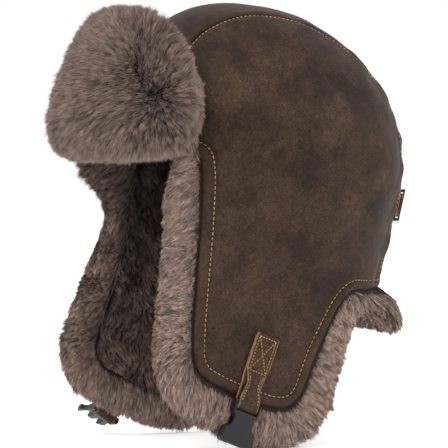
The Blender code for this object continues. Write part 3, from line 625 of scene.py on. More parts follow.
def hair_materials(name, root, tip, lengthwise=3, families=5):
    """Shades along a hair for several tints of hair. Each is one plain colour: a hair is thinner
    than a texture's detail, so the change of colour is in the number of pieces, not in a texture."""
    root, tip = np.array(root), np.array(tip)
    made = []
    for family in range(families):
        tint = 0.36 + 1.16 * family / (families - 1)
        warmth = np.array([1.0, 1.0 - 0.02 * (family - 2), 1.0 - 0.035 * (family - 2)])
        for step in range(lengthwise):
            share = (step / (lengthwise - 1)) ** 0.85
            colour = (root * (1.0 - share) + tip * share) * warmth * (tint if step else tint**0.5)
            plain = {"Roughness": 0.6, "Specular_IOR_Level": 0.20, "Sheen_Weight": 0.05}
            plain["Base_Color"] = (*np.clip(colour, 0.0, 1.0), 1.0)
            made.append(start_material(f"{name}_{family}_{step}", **plain)[0])
    return made


LEATHER = leather_material(
    "leather_suede",
    dark=(0.0165, 0.0085, 0.0058),
    middle=(0.034, 0.018, 0.0118),
    golden=(0.066, 0.040, 0.024),
    worn=(0.070, 0.041, 0.024),
)
TRIM_LEATHER = leather_material(
    "leather_trim",
    dark=(0.022, 0.0115, 0.0068),
    middle=(0.044, 0.024, 0.014),
    golden=(0.072, 0.042, 0.022),
    worn=(0.26, 0.155, 0.088),
)
THREAD = thread_material()
LINING = lining_material()
PLASTIC = plastic_material("buckle_nylon", (0.0072, 0.0070, 0.0072))
WOOL = undercoat_material("fur_undercoat", (0.016, 0.0105, 0.009), (0.062, 0.043, 0.036))
FUR_HAIRS = hair_materials("fur_hair", (0.024, 0.015, 0.012), (0.315, 0.222, 0.182))
VISOR_HAIRS = hair_materials("fur_hair_visor", (0.018, 0.012, 0.010), (0.198, 0.138, 0.116))
DARK_HAIRS = hair_materials("fur_hair_lining", (0.018, 0.012, 0.010), (0.172, 0.115, 0.093))


# ---------------------------------------------------------------- leather


def hem_profile(distance):
    """Height of the leather at a distance from its free edge: turned under at the edge, plump up to
    the topstitch, which pulls it in."""
    turned = -2.2 * (1.0 - smoothstep(distance / 2.6))
    plump = 0.8 * smoothstep(distance / 3.0) * (1.0 - smoothstep((distance - 5.5) / 3.0))
    return turned + plump - 0.9 * bell(distance, HEM_WIDTH, 1.0) + 0.5 * bell(distance, HEM_WIDTH + 3.6, 2.2)


def seam_profile(distance):
    """Height near the crown seam: both panels roll down into it."""
    return -2.0 * bell(distance, 0.0, 1.7) + 0.7 * bell(distance, 4.2, 2.4)


def seam_puckers(points, distance):
    """The stitching gathers the leather a little along the crown seam."""
    return 0.9 * ripple(points, 21.0, 8) * bell(distance, 8.0, 7.0)


def leather_relief(points):
    """Soft unevenness of the stretched leather."""
    return 0.75 * ripple(points, 68.0, 5) + 0.28 * ripple(points, 24.0, 6) + 0.07 * ripple(points, 8.0, 7)


def side_grid(panel_rows, flap_rows, columns):
    """The left side panel and ear flap as one grid in side view, from the crown seam down."""
    top = seam_curve(columns)[:, 1:]
    left = curve_through(TEMPLE_EDGE, panel_rows)
    left[0] = top[0]
    fold = evenly([TEMPLE_EDGE[-1], FLAP_BACK[-1]], columns)
    panel = coons(top, fold, left, nape_outline(panel_rows)[::-1])
    front = curve_through(FLAP_FRONT, flap_rows)
    bottom = curve_through(FLAP_BOTTOM, columns)
    back = curve_through(FLAP_BACK, flap_rows)[::-1]
    flap = coons(fold, bottom, front, back)
    return np.vstack([panel, flap[1:]])


def build_side_leather():
    flat = side_grid(86, 72, 120)
    base = on_side(flat)
    normals = normal_at(base)
    edge, _ = nearest_distance(flat.reshape(-1, 2), free_edge())
    seam, _ = nearest_distance(base.reshape(-1, 3), seam_curve(300))
    edge, seam = edge.reshape(flat.shape[:2]), seam.reshape(flat.shape[:2])
    height = hem_profile(edge) + seam_profile(seam) + leather_relief(base) * smoothstep(edge / 12.0)
    height += seam_puckers(base, seam)
    grid = base + normals * height[..., None]
    wear = 0.50 * bell(edge, 1.6, 1.2) + 0.22 * bell(edge, 4.6, 1.6) + 0.35 * bell(seam, 3.2, 1.6)
    # painted shade in the topstitch groove and the crown seam, and a painted shadow along the free edge
    # where the fur meets it
    painted_shade = 0.75 * bell(edge, HEM_WIDTH, 0.8) + 0.85 * bell(seam, 0.0, 1.2)
    painted_shade += 0.7 * (1.0 - smoothstep(edge / 0.8))
    for side in SIDES:
        points, faces = shell(mirrored(grid, side), LEATHER_THICKNESS, mirrored(normals, side))
        obj = new_mesh(f"leather_{side}", points, faces, LEATHER)
        set_wear_and_painted_shade(obj, wear, painted_shade)
        names = ("crown_side", "crown_wadding", "flap_leather", "flap_wadding", "flap_binding")
        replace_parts(obj, *(f"{name}_{side}" for name in names))
        bend_at_fold(obj)


def bend_at_fold(obj):
    """Bakes the piece's placement into its mesh."""
    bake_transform(obj)


def build_centre_strip():
    rows, columns = 150, 44
    base, v = strip_grid(0.0, 1.0, rows, columns)
    normals = normal_at(base)
    seam, _ = nearest_distance(base.reshape(-1, 3), seam_curve(300))
    other, _ = nearest_distance((base * FLIP).reshape(-1, 3), seam_curve(300))
    seam = np.minimum(seam, other).reshape(rows, columns)
    nape = base[..., 2] - NAPE_Z + 60.0 * (base[..., 1] < 0.0)
    edge = np.minimum(length_of(base[:, columns // 2]) * (1.0 - v), nape)
    height = seam_profile(seam) + leather_relief(base) + hem_profile(edge) + seam_puckers(base, seam)
    points, faces = shell(base + normals * height[..., None], LEATHER_THICKNESS, normals)
    obj = new_mesh("leather_centre", points, faces, LEATHER, "root")
    wear = 0.35 * bell(seam, 3.2, 1.6) + 0.8 * bell(edge, 1.6, 1.3)
    # painted shade in the crown seams and in the hem's topstitch groove
    set_wear_and_painted_shade(obj, wear, 0.85 * bell(seam, 0.0, 1.4) + 0.75 * bell(edge, HEM_WIDTH, 0.8))
    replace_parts(obj, "crown_centre_strip", "crown_wadding_centre")


# ---------------------------------------------------------------- stitches


def stitch_row(line, normals, pitch=3.7, filled=0.74, radius=0.46, sunk=0.10):
    """Thread lying on the leather along a line: one plump rounded bead for each stitch."""
    count = max(2, round(length_of(line) / pitch))
    ends = evenly(np.hstack([line, normals]), count * 10 + 1)
    rings = ((0.0, 0.25, -0.35), (0.12, 0.85, 0.0), (0.5, 1.0, 0.28), (0.88, 0.85, 0.0), (1.0, 0.25, -0.35))
    sides = 6
    parts = []
    for k in range(count):
        start, end = ends[k * 10], ends[k * 10 + int(10 * filled)]
        along = unit(end[:3] - start[:3])
        up = unit(start[3:] + end[3:])
        side = np.cross(along, up)
        points = []
        for t, size, lift in rings:
            centre = start[:3] * (1.0 - t) + end[:3] * t + up * (lift * radius - sunk)
            for turn in np.arange(sides) * 2.0 * math.pi / sides:
                points.append(centre + (side * math.cos(turn) + up * math.sin(turn)) * radius * size)
        parts.append((points, tube_faces(len(rings), sides)))
    return joined(parts)


def raised(line, height):
    """A line on the left outer surface lifted by a height, and the normals along it."""
    normals = normal_at(line)
    return line + normals * height, normals


def inset_line(outline, inset):
    tangents = unit(np.gradient(outline, axis=0))
    return outline + np.stack([-tangents[:, 1], tangents[:, 0]], axis=1) * inset


def build_stitches():
    hem = inset_line(free_edge(), HEM_WIDTH)
    hem = evenly(hem[8:-3], 500)
    line = on_side(hem)
    height = hem_profile(np.full(len(line), HEM_WIDTH)) + leather_relief(line) * smoothstep(HEM_WIDTH / 12.0)
    line, normals = raised(line, height[:, None] + 0.45)
    points, faces = stitch_row(line, normals)
    for side in SIDES:
        obj = new_mesh(f"hem_stitches_{side}", mirrored(points, side), faces, THREAD)
        bend_at_fold(obj)
    v = np.linspace(0.02, 0.99, 400)
    line = strip_point(v, strip_half_width(v) + CROWN_STITCH_OFFSET)
    height = seam_profile(np.full(len(line), CROWN_STITCH_OFFSET)) + leather_relief(line)
    line, normals = raised(line, height[:, None] + 0.35)
    row = stitch_row(line, normals, 3.4, 0.72, 0.40)
    points, faces = joined([row, (row[0] * FLIP, row[1])])
    new_mesh("crown_stitches", points, faces, THREAD, "root")
    x = np.linspace(-STRIP_HALF_WIDTHS[2], STRIP_HALF_WIDTHS[2], 60)
    half_width, half_length, _ = section(1.0, NAPE_Z + HEM_WIDTH)
    y = half_length * np.sqrt(1.0 - (x / half_width) ** 2)
    line = np.stack([x, y, np.full(len(x), NAPE_Z + HEM_WIDTH)], axis=1)
    line, normals = raised(line, -0.4)
    points, faces = stitch_row(line, normals)
    new_mesh("nape_stitches", points, faces, THREAD, "root")


# ---------------------------------------------------------------- straps


def strip(
    name, centre, across, out, half, thickness, material, body=None, closed=False
):
    """A strip along a path, softly crowned, with burnished edges and painted shade along its edge stitching.
    half is its half-width there.
    """
    turns = np.linspace(0.0, 2.0 * math.pi, 28, endpoint=False)
    wide = np.sign(np.cos(turns)) * np.abs(np.cos(turns)) ** 0.35
    high = np.sign(np.sin(turns)) * np.abs(np.sin(turns)) ** 0.60
    half = (np.ones(len(centre)) * half)[:, None]
    points = centre[:, None] + across[:, None] * (wide * half)[..., None]
    points = points + out[:, None] * (high * thickness / 2.0)[:, None]
    rows, columns = points.shape[:2]
    faces = tube_faces(rows, columns)
    if closed:  # joined up end to end, without the caps
        ends = np.arange(columns), np.roll(np.arange(columns), -1)
        last = (rows - 1) * columns
        faces = faces[:-2] + [(last + a, last + b, b, a) for a, b in zip(*ends)]
    obj = new_mesh(name, points.reshape(-1, 3), faces, material, body)
    inset = ((1.0 - np.abs(wide)) * half).ravel()
    set_value(obj, "wear", bell(inset, 0.0, 0.8))
    # painted shade in a narrow line just in from each edge, along the edge stitching
    set_value(obj, "painted_shade", 0.35 * bell(inset, 2.2, 0.7))
    return obj


def strap_frame(side):
    """Directions across, down along and out from a hanging strap, and the middle of its tab."""
    tilt, sign = STRAP_TILT[side], 1.0 if side == "left" else -1.0
    across = np.array([0.0, math.cos(tilt), -math.sin(tilt)])
    hang = np.array([0.0, -math.sin(tilt), -math.cos(tilt)])
    places = [
        np.array([0.0, *TAB_CENTRE]) + across * a + hang * b
        for a in (-TAB_SIZE[0] / 2.0, 0.0, TAB_SIZE[0] / 2.0)
        for b in (-TAB_SIZE[1] / 2.0, 0.0, TAB_SIZE[1] / 2.0 + STRAP_LENGTH[side])
    ]
    reach = max(float(side_x(place[1], place[2])) for place in places) + TAB_LIFT
    return across, hang, np.array([sign, 0.0, 0.0]), np.array([sign * reach, *TAB_CENTRE])


def strap_path(length):
    """A strap's course, as (down, out) from the tab's lower end: sewn, round the buckle's bar and back."""
    bar = LOOP_RADIUS + STRAP_THICKNESS
    middle = bar - STRAP_THICKNESS / 2.0
    front = [(-TAB_SIZE[1], TAB_FACE), (-18.0, TAB_FACE), (-8.0, TAB_FACE), (0.0, 3.0), (0.2 * length, 3.7)]
    front += [(0.45 * length, 5.0), (0.75 * length, 6.6), (length, bar + middle)]
    turn = np.radians(np.linspace(75.0, -75.0, 9))
    loop = [(length + middle * math.cos(t), bar + middle * math.sin(t)) for t in turn]
    back = [(down, STRAP_BACK) for down in (0.6 * length, 0.2 * length, -12.0, -27.0)]
    return curve_through(front + loop + [(length, bar - middle)] + back, 150)


def build_strap(side):
    """One strip of leather: sewn to the flap in a crossed box, then waisted and round the buckle's bar."""
    across, hang, out, tab = strap_frame(side)
    length = STRAP_LENGTH[side]
    origin = tab + hang * (TAB_SIZE[1] / 2.0 + 0.4)
    path = strap_path(length)
    along = path[:, 0]
    ahead = np.gradient(path, axis=0)
    normal = unit(np.stack([-ahead[:, 1], ahead[:, 0]], axis=1))
    centre = origin + hang * path[:, :1] + out * path[:, 1:]
    facing = hang * normal[:, :1] + out * normal[:, 1:]
    first = np.arange(len(path)) < np.argmax(along)
    half = np.where(first, np.interp(along, *zip(*CHIN_STRAP_WAIST)), np.where(along < 5.0, 9.2, 8.5))
    half = averaged(half, 3)
    sideways = np.tile(across, (len(path), 1))
    name = f"chin_strap_leather_{side}"
    strap = strip(name, centre, sideways, facing, half, STRAP_THICKNESS, TRIM_LEATHER)
    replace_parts(strap, f"strap_tab_{side}", f"chin_strap_{side}")
    rows = []
    face = centre + facing * (STRAP_THICKNESS / 2.0 - 0.05)
    low, high = -TAB_SIZE[1] + 2.4, -1.2
    box = [(-BOX_HALF_WIDTH, low), (BOX_HALF_WIDTH, low), (BOX_HALF_WIDTH, high), (-BOX_HALF_WIDTH, high)]
    top = np.argmax(along)
    for start, end in list(zip(box, box[1:] + box[:1])) + [(box[0], box[2]), (box[1], box[3])]:
        line = evenly([start, end], 40)
        place = np.stack([np.interp(line[:, 1], along[:top], face[:top, k]) for k in range(3)], axis=1)
        rows.append(stitch_row(place + across * line[:, :1], np.tile(out, (40, 1)), 2.35, 0.72, 0.36))
    below = np.nonzero(first & (along > 0.5) & (along < length - 2.0))[0]
    for sign in (-1.0, 1.0):
        line = face[below] + across * (sign * (half[below] - STITCH_INSET))[:, None]
        rows.append(stitch_row(line, facing[below], 2.35, 0.72, 0.34))
    points, faces = joined(rows)
    stitches = new_mesh(f"chin_strap_stitches_{side}", points, faces, THREAD)
    start, end = (tuple((origin + hang * b) * MM) for b in (-2.0, 6.0))
    for piece in (strap, stitches):
        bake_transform(piece)


def back_frame(angles, heights, offset):
    """Places round the back of the head, and the directions out and round there; angles in degrees."""
    angles, heights = np.broadcast_arrays(np.radians(angles), np.asarray(heights, float))
    radius = ADJUSTER_CONE[0] + ADJUSTER_CONE[1] * (heights - ADJUSTER_Z) + offset
    level = np.zeros(angles.shape)
    out = np.stack([np.sin(angles), np.cos(angles), level], axis=-1)
    place = out * radius[..., None] + np.stack([level, level + ADJUSTER_PIVOT_Y, heights], axis=-1)
    return place, out, np.stack([np.cos(angles), -np.sin(angles), level], axis=-1)


def build_adjuster():
    half, thickness = ADJUSTER_STRIP_SIZE
    for name, arc, tapered, offset, body in ADJUSTER_STRIPS:
        turn = np.linspace(*arc, 50)
        centre, out, _ = back_frame(turn, ADJUSTER_Z, offset)
        up = unit(out * ADJUSTER_CONE[1] - DOWN)
        taper = half * (0.62 + 0.38 * np.sqrt(np.clip(np.abs(turn - arc[tapered]) / 2.4, 0.0, 1.0)))
        piece = strip(f"{name}_leather", centre, up, out, taper, thickness, TRIM_LEATHER, body)
        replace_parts(piece, name)
        rows = []
        for sign in (-1.0, 1.0):
            line = centre + out * (thickness / 2.0 - 0.05) + up * (sign * (taper - STITCH_INSET))[:, None]
            rows.append(stitch_row(line, out, 2.6, 0.7, 0.34))
        points, faces = joined(rows)
        new_mesh(f"{name}_stitches", points, faces, THREAD, body)
    arch = curve_through(KEEPER_ARCH, 40)
    centre, _, round_way = back_frame(KEEPER_ANGLE, ADJUSTER_Z + arch[:, 0], arch[:, 1])
    out = np.cross(round_way, unit(np.gradient(centre, axis=0)))
    name = "adjuster_keeper_leather"
    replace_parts(strip(name, centre, round_way, out, 5.6, 1.2, TRIM_LEATHER, "root"), "adjuster_keeper")


def build_sweatband():
    count = 150
    turns = np.linspace(0.0, 2.0 * math.pi, count, endpoint=False)
    half_width, half_length, centre = section(0.0, SWEATBAND_Z)
    x, y = half_width * np.cos(turns), centre + half_length * np.sin(turns)
    ring = np.stack([x, y, np.full(count, SWEATBAND_Z)], axis=1)
    normals = normal_at(ring)
    up = across_from(-DOWN, normals)
    ring = ring - normals * SWEATBAND_DEPTH
    band = strip("sweatband_cloth", ring, up, -normals, 12.5, 1.8, LINING, "root", closed=True)
    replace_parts(band, "sweatband")


# ---------------------------------------------------------------- fur


def at(grid, i, j):
    """The grid's value at fractional rows and columns."""
    rows, columns = grid.shape[:2]
    i0 = np.clip(i.astype(int), 0, rows - 2)
    j0 = np.clip(j.astype(int), 0, columns - 2)
    a, b = (i - i0)[:, None], (j - j0)[:, None]
    upper = grid[i0, j0] * (1 - b) + grid[i0, j0 + 1] * b
    lower = grid[i0 + 1, j0] * (1 - b) + grid[i0 + 1, j0 + 1] * b
    return upper * (1 - a) + lower * a


def scattered(grid, count, rng):
    """Fractional rows and columns, even over the grid's area."""
    down = np.diff(grid, axis=0)[:, :-1]
    across = np.diff(grid, axis=1)[:-1]
    area = np.linalg.norm(np.cross(down, across), axis=2).ravel()
    cell = rng.choice(len(area), size=count, p=area / area.sum())
    i, j = np.divmod(cell, grid.shape[1] - 1)
    return i + rng.random(count), j + rng.random(count)


def clumped(roots, control, tips, rng, share, strength):
    """Hairs gather into tufts: each leans towards the tip of the leader nearest to its root."""
    leaders = rng.choice(len(roots), size=max(8, int(len(roots) * share)), replace=False)
    tree = kdtree.KDTree(len(leaders))
    for k, leader in enumerate(leaders):
        tree.insert(roots[leader], k)
    tree.balance()
    nearest = leaders[np.array([tree.find(root)[1] for root in roots])]
    pull = rng.uniform(*strength, len(roots))[:, None]
    goal = tips[nearest] + (roots - roots[nearest]) * 0.30
    middle = control[nearest] + (roots - roots[nearest]) * 0.75
    return control + (middle - control) * pull * 0.5, tips + (goal - tips) * pull, nearest


def grow(name, grids, seed, hairs, count, width, jitter, clump, slot="fur"):
    """A piece of fur. grids are the roots, the bend, the tips and the outward directions."""
    rng = np.random.default_rng(seed)
    i, j = scattered(grids[0] * 0.5 + grids[2] * 0.5, count, rng)
    roots, control, tips, normals = (at(grid, i, j) for grid in grids)
    normals = unit(normals)
    length = np.linalg.norm(tips - roots, axis=1, keepdims=True)
    scale = rng.uniform(*HAIR_LENGTHS, (count, 1))
    long = rng.random((count, 1)) < LONG_SHARE
    scale = scale * np.where(long, rng.uniform(*LONG_LENGTHS, (count, 1)), 1.0)
    scale = scale * (1.0 + 0.07 * ripple(roots, 14.0, seed + 1)[:, None])
    tips = roots + (tips - roots) * scale + rng.normal(size=(count, 3)) * 0.065 * length * jitter
    control = roots + (control - roots) * scale + rng.normal(size=(count, 3)) * 0.04 * length * jitter
    control, tips, leader = clumped(roots, control, tips, rng, *clump)
    facing = unit(normals + rng.normal(size=(count, 3)) * 0.38)
    side = unit(np.cross(tips - roots, facing)) * (width / 2.0 * rng.uniform(0.75, 1.25, (count, 1)))
    points = np.empty((count, 7, 3))
    for k, t in enumerate(HAIR_STEPS):
        place = roots * (1 - t) ** 2 + control * (2 * t * (1 - t)) + tips * t * t
        points[:, 2 * k] = place - side * HAIR_TAPER[k]
        points[:, 2 * k + 1] = place + side * HAIR_TAPER[k]
    points[:, 6] = tips
    families = len(hairs) // 3
    tuft = rng.normal(size=count)[leader] * 1.15 + ripple(roots, 26.0, seed + 2) * 0.5
    family = np.clip(np.round((families - 1) / 2.0 + tuft + rng.normal(size=count) * 0.6), 0, families - 1)
    first = np.arange(count)[:, None]
    mesh = bpy.data.meshes.new(name)
    mesh.vertices.add(count * 7)
    mesh.loops.add(count * 11)
    mesh.polygons.add(count * 3)
    for where, key, values, kind in (
        (mesh.vertices, "co", points * MM, np.float32),
        (mesh.loops, "vertex_index", first * 7 + [0, 1, 3, 2, 2, 3, 5, 4, 4, 5, 6], np.int32),
        (mesh.polygons, "loop_start", first * 11 + [0, 4, 8], np.int32),
        (mesh.polygons, "material_index", family[:, None] * 3 + np.arange(3), np.int32),
    ):
        where.foreach_set(key, values.astype(kind).ravel())
    for material in hairs:
        mesh.materials.append(material)
    mesh.update(calc_edges=True)
    mesh.shade_smooth()
    obj = placed(name, mesh)
    return obj


def smoothed(vectors, reach):
    out = [np.mean(vectors[max(0, i - reach) : i + reach + 1], axis=0) for i in range(len(vectors))]
    return unit(np.array(out))


def flap_edge_frame():
    """Along the left temple and flap edge: points, directions out past the edge, normals."""
    temple = curve_through(TEMPLE_FUR_TOP + TEMPLE_EDGE[3:], TEMPLE_ROWS)
    path = on_side(np.vstack([temple, flap_outline(FLAP_ROWS)[1:]]))
    normals = normal_at(path)
    across = unit(np.cross(np.gradient(path, axis=0), normals))
    away = np.sum(across * (path - FLAP_MIDDLE), axis=1)
    across = np.where(away[:, None] < 0.0, -across, across)
    share = np.linspace(0.0, 1.0, TEMPLE_ROWS)[:, None]
    across[:TEMPLE_ROWS] = unit(TEMPLE_FUR_WAY * (1.0 - share) + across[TEMPLE_ROWS - 1] * share)
    return path, smoothed(across, 7), normals


def nape_frame():
    """Along the nape from the left fold to the right one: points, directions, normals."""
    back_y, back_z = FLAP_BACK[-1]
    start = ((back_y, back_z), (46.0, NAPE_Z), (56.0, NAPE_Z))
    outline = [(float(side_x(y, NAPE_Z)), y, z) for y, z in start]
    half_width, half_length, _ = section(1.0, NAPE_Z)
    for angle in np.radians(np.linspace(48.0, 90.0, 8)):
        outline.append((half_width * math.cos(angle), half_length * math.sin(angle), NAPE_Z))
    left = evenly(np.array(outline), 50)
    path = np.vstack([left, left[-2::-1] * FLIP])
    normals = normal_at(path)
    down = DOWN * 0.95 + unit(normals * [1.0, 1.0, 0.0]) * 0.22
    start = flap_edge_frame()[1][-1]
    place = np.arange(len(path))[:, None]
    blend = smoothstep(np.minimum(place, len(path) - 1 - place) / 22.0)
    ends = np.where(place < len(path) / 2, start, start * FLIP)
    return path, unit(ends * (1.0 - blend) + down * blend), normals


def band_grids(path, across, normals, widths, droop, seed, thickness=FUR_THICKNESS, proud=FUR_PROUD):
    """A fur edge rolled round the leather's edge: roots on an inner oval, tips on the outer one. The
    hairs lie across the edge, from the leather to the free side."""
    turns = np.radians(np.linspace(-176.0, 176.0, 30))[None, :, None]
    width = np.asarray(widths)[:, None, None]
    thickness = (np.ones(len(path)) * thickness)[:, None, None]
    point, out, normal = path[:, None], across[:, None], normals[:, None]
    middle = point - normal * (thickness / 2.0 - proud)

    def oval(angle, share, sideways, height):
        up = np.sign(np.sin(angle)) * np.abs(np.sin(angle)) ** 0.65
        return middle + out * width * (share + sideways * np.cos(angle)) + normal * up * thickness * height

    roots = oval(turns, 0.24, 0.32, 0.34)
    control = oval(turns * 0.80, 0.50, 0.50, 0.49)
    tips = oval(turns * (0.56 + 0.24 * np.abs(turns / math.pi) ** 3), 0.50, 0.53, 0.55)
    sway = unit(np.gradient(path, axis=0))[:, None] * ripple(point, 30.0, seed)[..., None]
    lift = ripple(tips, 19.0, seed + 3)[..., None]
    tips = tips + sway * 3.6 + (normal * 1.2 + out) * lift + DOWN * droop
    return roots, control - sway, tips, normal * np.sin(turns) + out * np.cos(turns) * 0.8


def core(name, roots, body=None, shrink=0.94):
    """The wool under the hairs: a closed tube a little inside the roots."""
    middle = roots.mean(axis=1, keepdims=True)
    points = middle + (roots - middle) * shrink
    return new_mesh(name, points.reshape(-1, 3), tube_faces(*roots.shape[:2]), WOOL, body)


def build_edge_fur():
    path, across, normals = flap_edge_frame()
    for side, seed in zip(SIDES, (11, 12)):
        temple, flap = spread(TEMPLE_FUR_WIDTHS[side], TEMPLE_ROWS), spread(FLAP_FUR_WIDTHS[side], FLAP_ROWS)
        widths = averaged(np.concatenate([temple, flap[1:]]), 6)
        grids = band_grids(*(mirrored(part, side) for part in (path, across, normals)), widths, 3.5, seed)
        under = core(f"fur_edge_core_{side}", grids[0])
        bend_at_fold(under)
        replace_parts(under, f"flap_fur_edge_{side}", f"temple_fur_edge_{side}")
        for half in range(2):
            hairs = grow(f"fur_edge_{side}_{half}", grids, seed * 10 + half, FUR_HAIRS, **EDGE_HAIRS)
            bend_at_fold(hairs)
    path, across, normals = nape_frame()
    widths, thickness, proud = (
        spread(values, len(path)) for values in (NAPE_FUR_WIDTHS, NAPE_FUR_THICKNESS, NAPE_FUR_PROUD)
    )
    grids = band_grids(path, across, normals, widths, 0.5, 13, thickness, proud[:, None, None])
    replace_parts(core("fur_nape_core", grids[0], "root"), "neck_fur_edge")
    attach(grow("fur_nape", grids, 130, FUR_HAIRS, **NAPE_HAIRS), "root")


def visor_places(rows, columns):
    """Grids of v, up the visor from 0 to 1, and u, across it from -1 to 1."""
    return np.meshgrid(np.linspace(0.0, 1.0, rows), np.linspace(-1.0, 1.0, columns), indexing="ij")


def visor_surface(half_arc, heights, v, u, out):
    """Points over the visor, each a distance out from the crown."""
    low = heights[0] + VISOR_CORNERS[0] * np.abs(u) ** 3
    high = heights[1] - VISOR_CORNERS[1] * np.abs(u) ** 2.7
    crest = np.clip((out - VISOR_FUR_EDGE) / (VISOR_FUR_PROUD[1] - VISOR_FUR_EDGE), 0.0, 1.0)
    high = high - VISOR_TOP_ROLL * smoothstep((v - 0.55) / 0.45) * (1.0 - crest) ** 1.5
    z, arc = low + v * (high - low), u * half_arc * (1.0 - VISOR_BARREL * (2.0 * v - 1.0) ** 2)
    half_width, half_length, centre = section(-1.0, np.minimum(z, VISOR_LEAVES_CROWN_Z))
    shift = VISOR_LEAN * np.maximum(0.0, z - VISOR_LEAVES_CROWN_Z)
    point = np.stack([half_width * np.sin(arc), centre - half_length * np.cos(arc) + shift, z], axis=-1)
    normal = np.stack([np.sin(arc) / half_width, -np.cos(arc) / half_length, np.zeros(z.shape)], axis=-1)
    return point + unit(normal) * np.asarray(out)[..., None]


def visor_fur_offset(u, v):
    proud = VISOR_FUR_PROUD[0] + (VISOR_FUR_PROUD[1] - VISOR_FUR_PROUD[0]) * v
    upright = (1.0 - np.clip(np.abs(2.0 * v - 1.0), 0.0, 1.0) ** 3.5) ** (1.0 / 3.0)
    sideways = (1.0 - np.clip(np.abs(u), 0.0, 1.0) ** 4.0) ** (1.0 / 3.0)
    return VISOR_FUR_EDGE + (proud - VISOR_FUR_EDGE) * upright * sideways


def grid_normals(grid):
    """Normals of a grid on the visor, which face forwards."""
    up, across = np.gradient(grid, axis=0), np.gradient(grid, axis=1)
    return unit(np.cross(across, up))


def visor_flow(front, normals):
    """The way the hairs lie, away from a short parting on the wearer's left, and the distance to it."""
    rows, columns = front.shape[:2]
    share = np.linspace(0.0, 1.0, 13)
    u, v = (PARTING[0][k] * (1.0 - share) + PARTING[1][k] * share for k in (0, 1))
    line = at(front, v * (rows - 1), (u + 1.0) / 2.0 * (columns - 1))
    distance, nearest = nearest_distance(front.reshape(-1, 3), line)
    parting = distance.reshape(rows, columns)
    away = unit(front - line[nearest].reshape(front.shape))
    down = DOWN * 0.55 * smoothstep((parting - 25.0) / 110.0)[..., None]
    return swirled(front, across_from(away + down, normals), normals, 42.0, 21, 0.45), parting


def swirled(points, flow, normals, wavelength, seed, amount):
    """The flow turned to and fro in the surface."""
    swirl = ripple(points, wavelength, seed)[..., None] * amount
    return across_from(flow + np.cross(normals, flow) * swirl, normals)


def build_visor():
    v, u = visor_places(72, 110)
    back = visor_surface(VISOR_FUR_HALF_ARC, VISOR_FUR_HEIGHTS, v, u, VISOR_FUR_BACK)
    front = visor_surface(VISOR_FUR_HALF_ARC, VISOR_FUR_HEIGHTS, v, u, visor_fur_offset(u, v))
    normals = grid_normals(front)
    rim = np.minimum(np.minimum(v, 1.0 - v) * 8.0, (1.0 - np.abs(u)) * 9.0)
    depth = 4.0 + 6.5 * smoothstep(rim)
    keep = np.clip((np.linalg.norm(front - back, axis=-1) - 1.0) / np.maximum(depth, 1e-6), 0.0, 1.0)
    roots = front - normals * (depth * keep)[..., None]
    flow, parting = visor_flow(front, normals)
    hanging = (1.0 - smoothstep(v / 0.22))[..., None]
    lying = (3.0 + 7.5 * smoothstep(parting / 24.0))[..., None] + 1.5 * hanging
    dip = (1.0 - smoothstep(parting / 13.0))[..., None]
    lift = ripple(front, 17.0, 22)[..., None]
    tips = front + normals * (0.8 + lift - 3.6 * dip) + flow * lying + DOWN * 1.5 * hanging
    grids = (roots, roots * 0.40 + (front + flow * lying * 0.25) * 0.60, tips, normals)
    points, faces = shell(roots - normals * 0.4, 1.0, normals)
    points[v.size :] = back.reshape(-1, 3)
    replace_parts(new_mesh("visor_fur_core", points, faces, WOOL, "visor"), "visor_fur")
    for part in range(3):
        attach(grow(f"visor_fur_{part}", grids, 200 + part, VISOR_HAIRS, **BROW_HAIRS), "visor")
    facing = visor_surface(VISOR_HALF_ARC, VISOR_HEIGHTS, *visor_places(40, 70), VISOR_FACING[0])
    points, faces = shell(facing, VISOR_FACING[1], -grid_normals(facing))
    leather = new_mesh("visor_leather_facing", points, faces, LEATHER, "visor")
    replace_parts(leather, "visor_leather", "visor_wadding")


def lining_grids(surface, outward, flow, rise=0.0):
    """Hairs on the inside of a surface, lying along the flow."""
    roots = surface - outward * FUR_ROOT_DEPTH
    bend = surface - outward * LINING_FUR_DEPTHS[0] + flow * LINING_FUR_LEAN[0]
    tips = surface - outward * (LINING_FUR_DEPTHS[1] + rise) + flow * LINING_FUR_LEAN[1]
    return roots, bend, tips, -outward


def build_lining_fur():
    """The shorter fur inside the flaps, the temples and the nape."""
    base = on_side(side_grid(60, 60, 60)[34:])
    normals = normal_at(base)
    for side, seed in zip(SIDES, (31, 32)):
        surface, outward = mirrored(base, side), mirrored(normals, side)
        flow = swirled(surface, across_from(DOWN, outward), outward, 26.0, seed, 1.2)
        grids = lining_grids(surface, outward, flow, 1.2 * ripple(surface, 15.0, seed + 5)[..., None])
        bend_at_fold(grow(f"fur_lining_{side}", grids, seed * 10, DARK_HAIRS, 39000, **LINING_HAIRS))
        points, faces = shell(surface - outward * LINING_DEPTH, FUR_ROOT_DEPTH - LINING_DEPTH + 0.4, outward)
        hide = new_mesh(f"fur_lining_hide_{side}", points, faces, WOOL, None)
        bend_at_fold(hide)
        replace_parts(hide, f"flap_fur_lining_{side}")
    base, _ = strip_grid(0.80, 1.0, 30, 40)
    normals = normal_at(base)
    grids = lining_grids(base, normals, across_from(DOWN, normals))
    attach(grow("fur_lining_nape", grids, 340, DARK_HAIRS, 14000, **LINING_HAIRS), "root")


# ---------------------------------------------------------------- crown lining


def build_lining():
    """Quilted cloth inside the crown."""
    add_quilt("lining_centre", strip_grid(0.02, 0.98, 110, 150, 60.0)[0], "crown_lining_centre")
    base = on_side(side_grid(86, 4, 110)[:80])
    for side in SIDES:
        add_quilt(f"lining_{side}", mirrored(base, side), f"crown_lining_{side}")


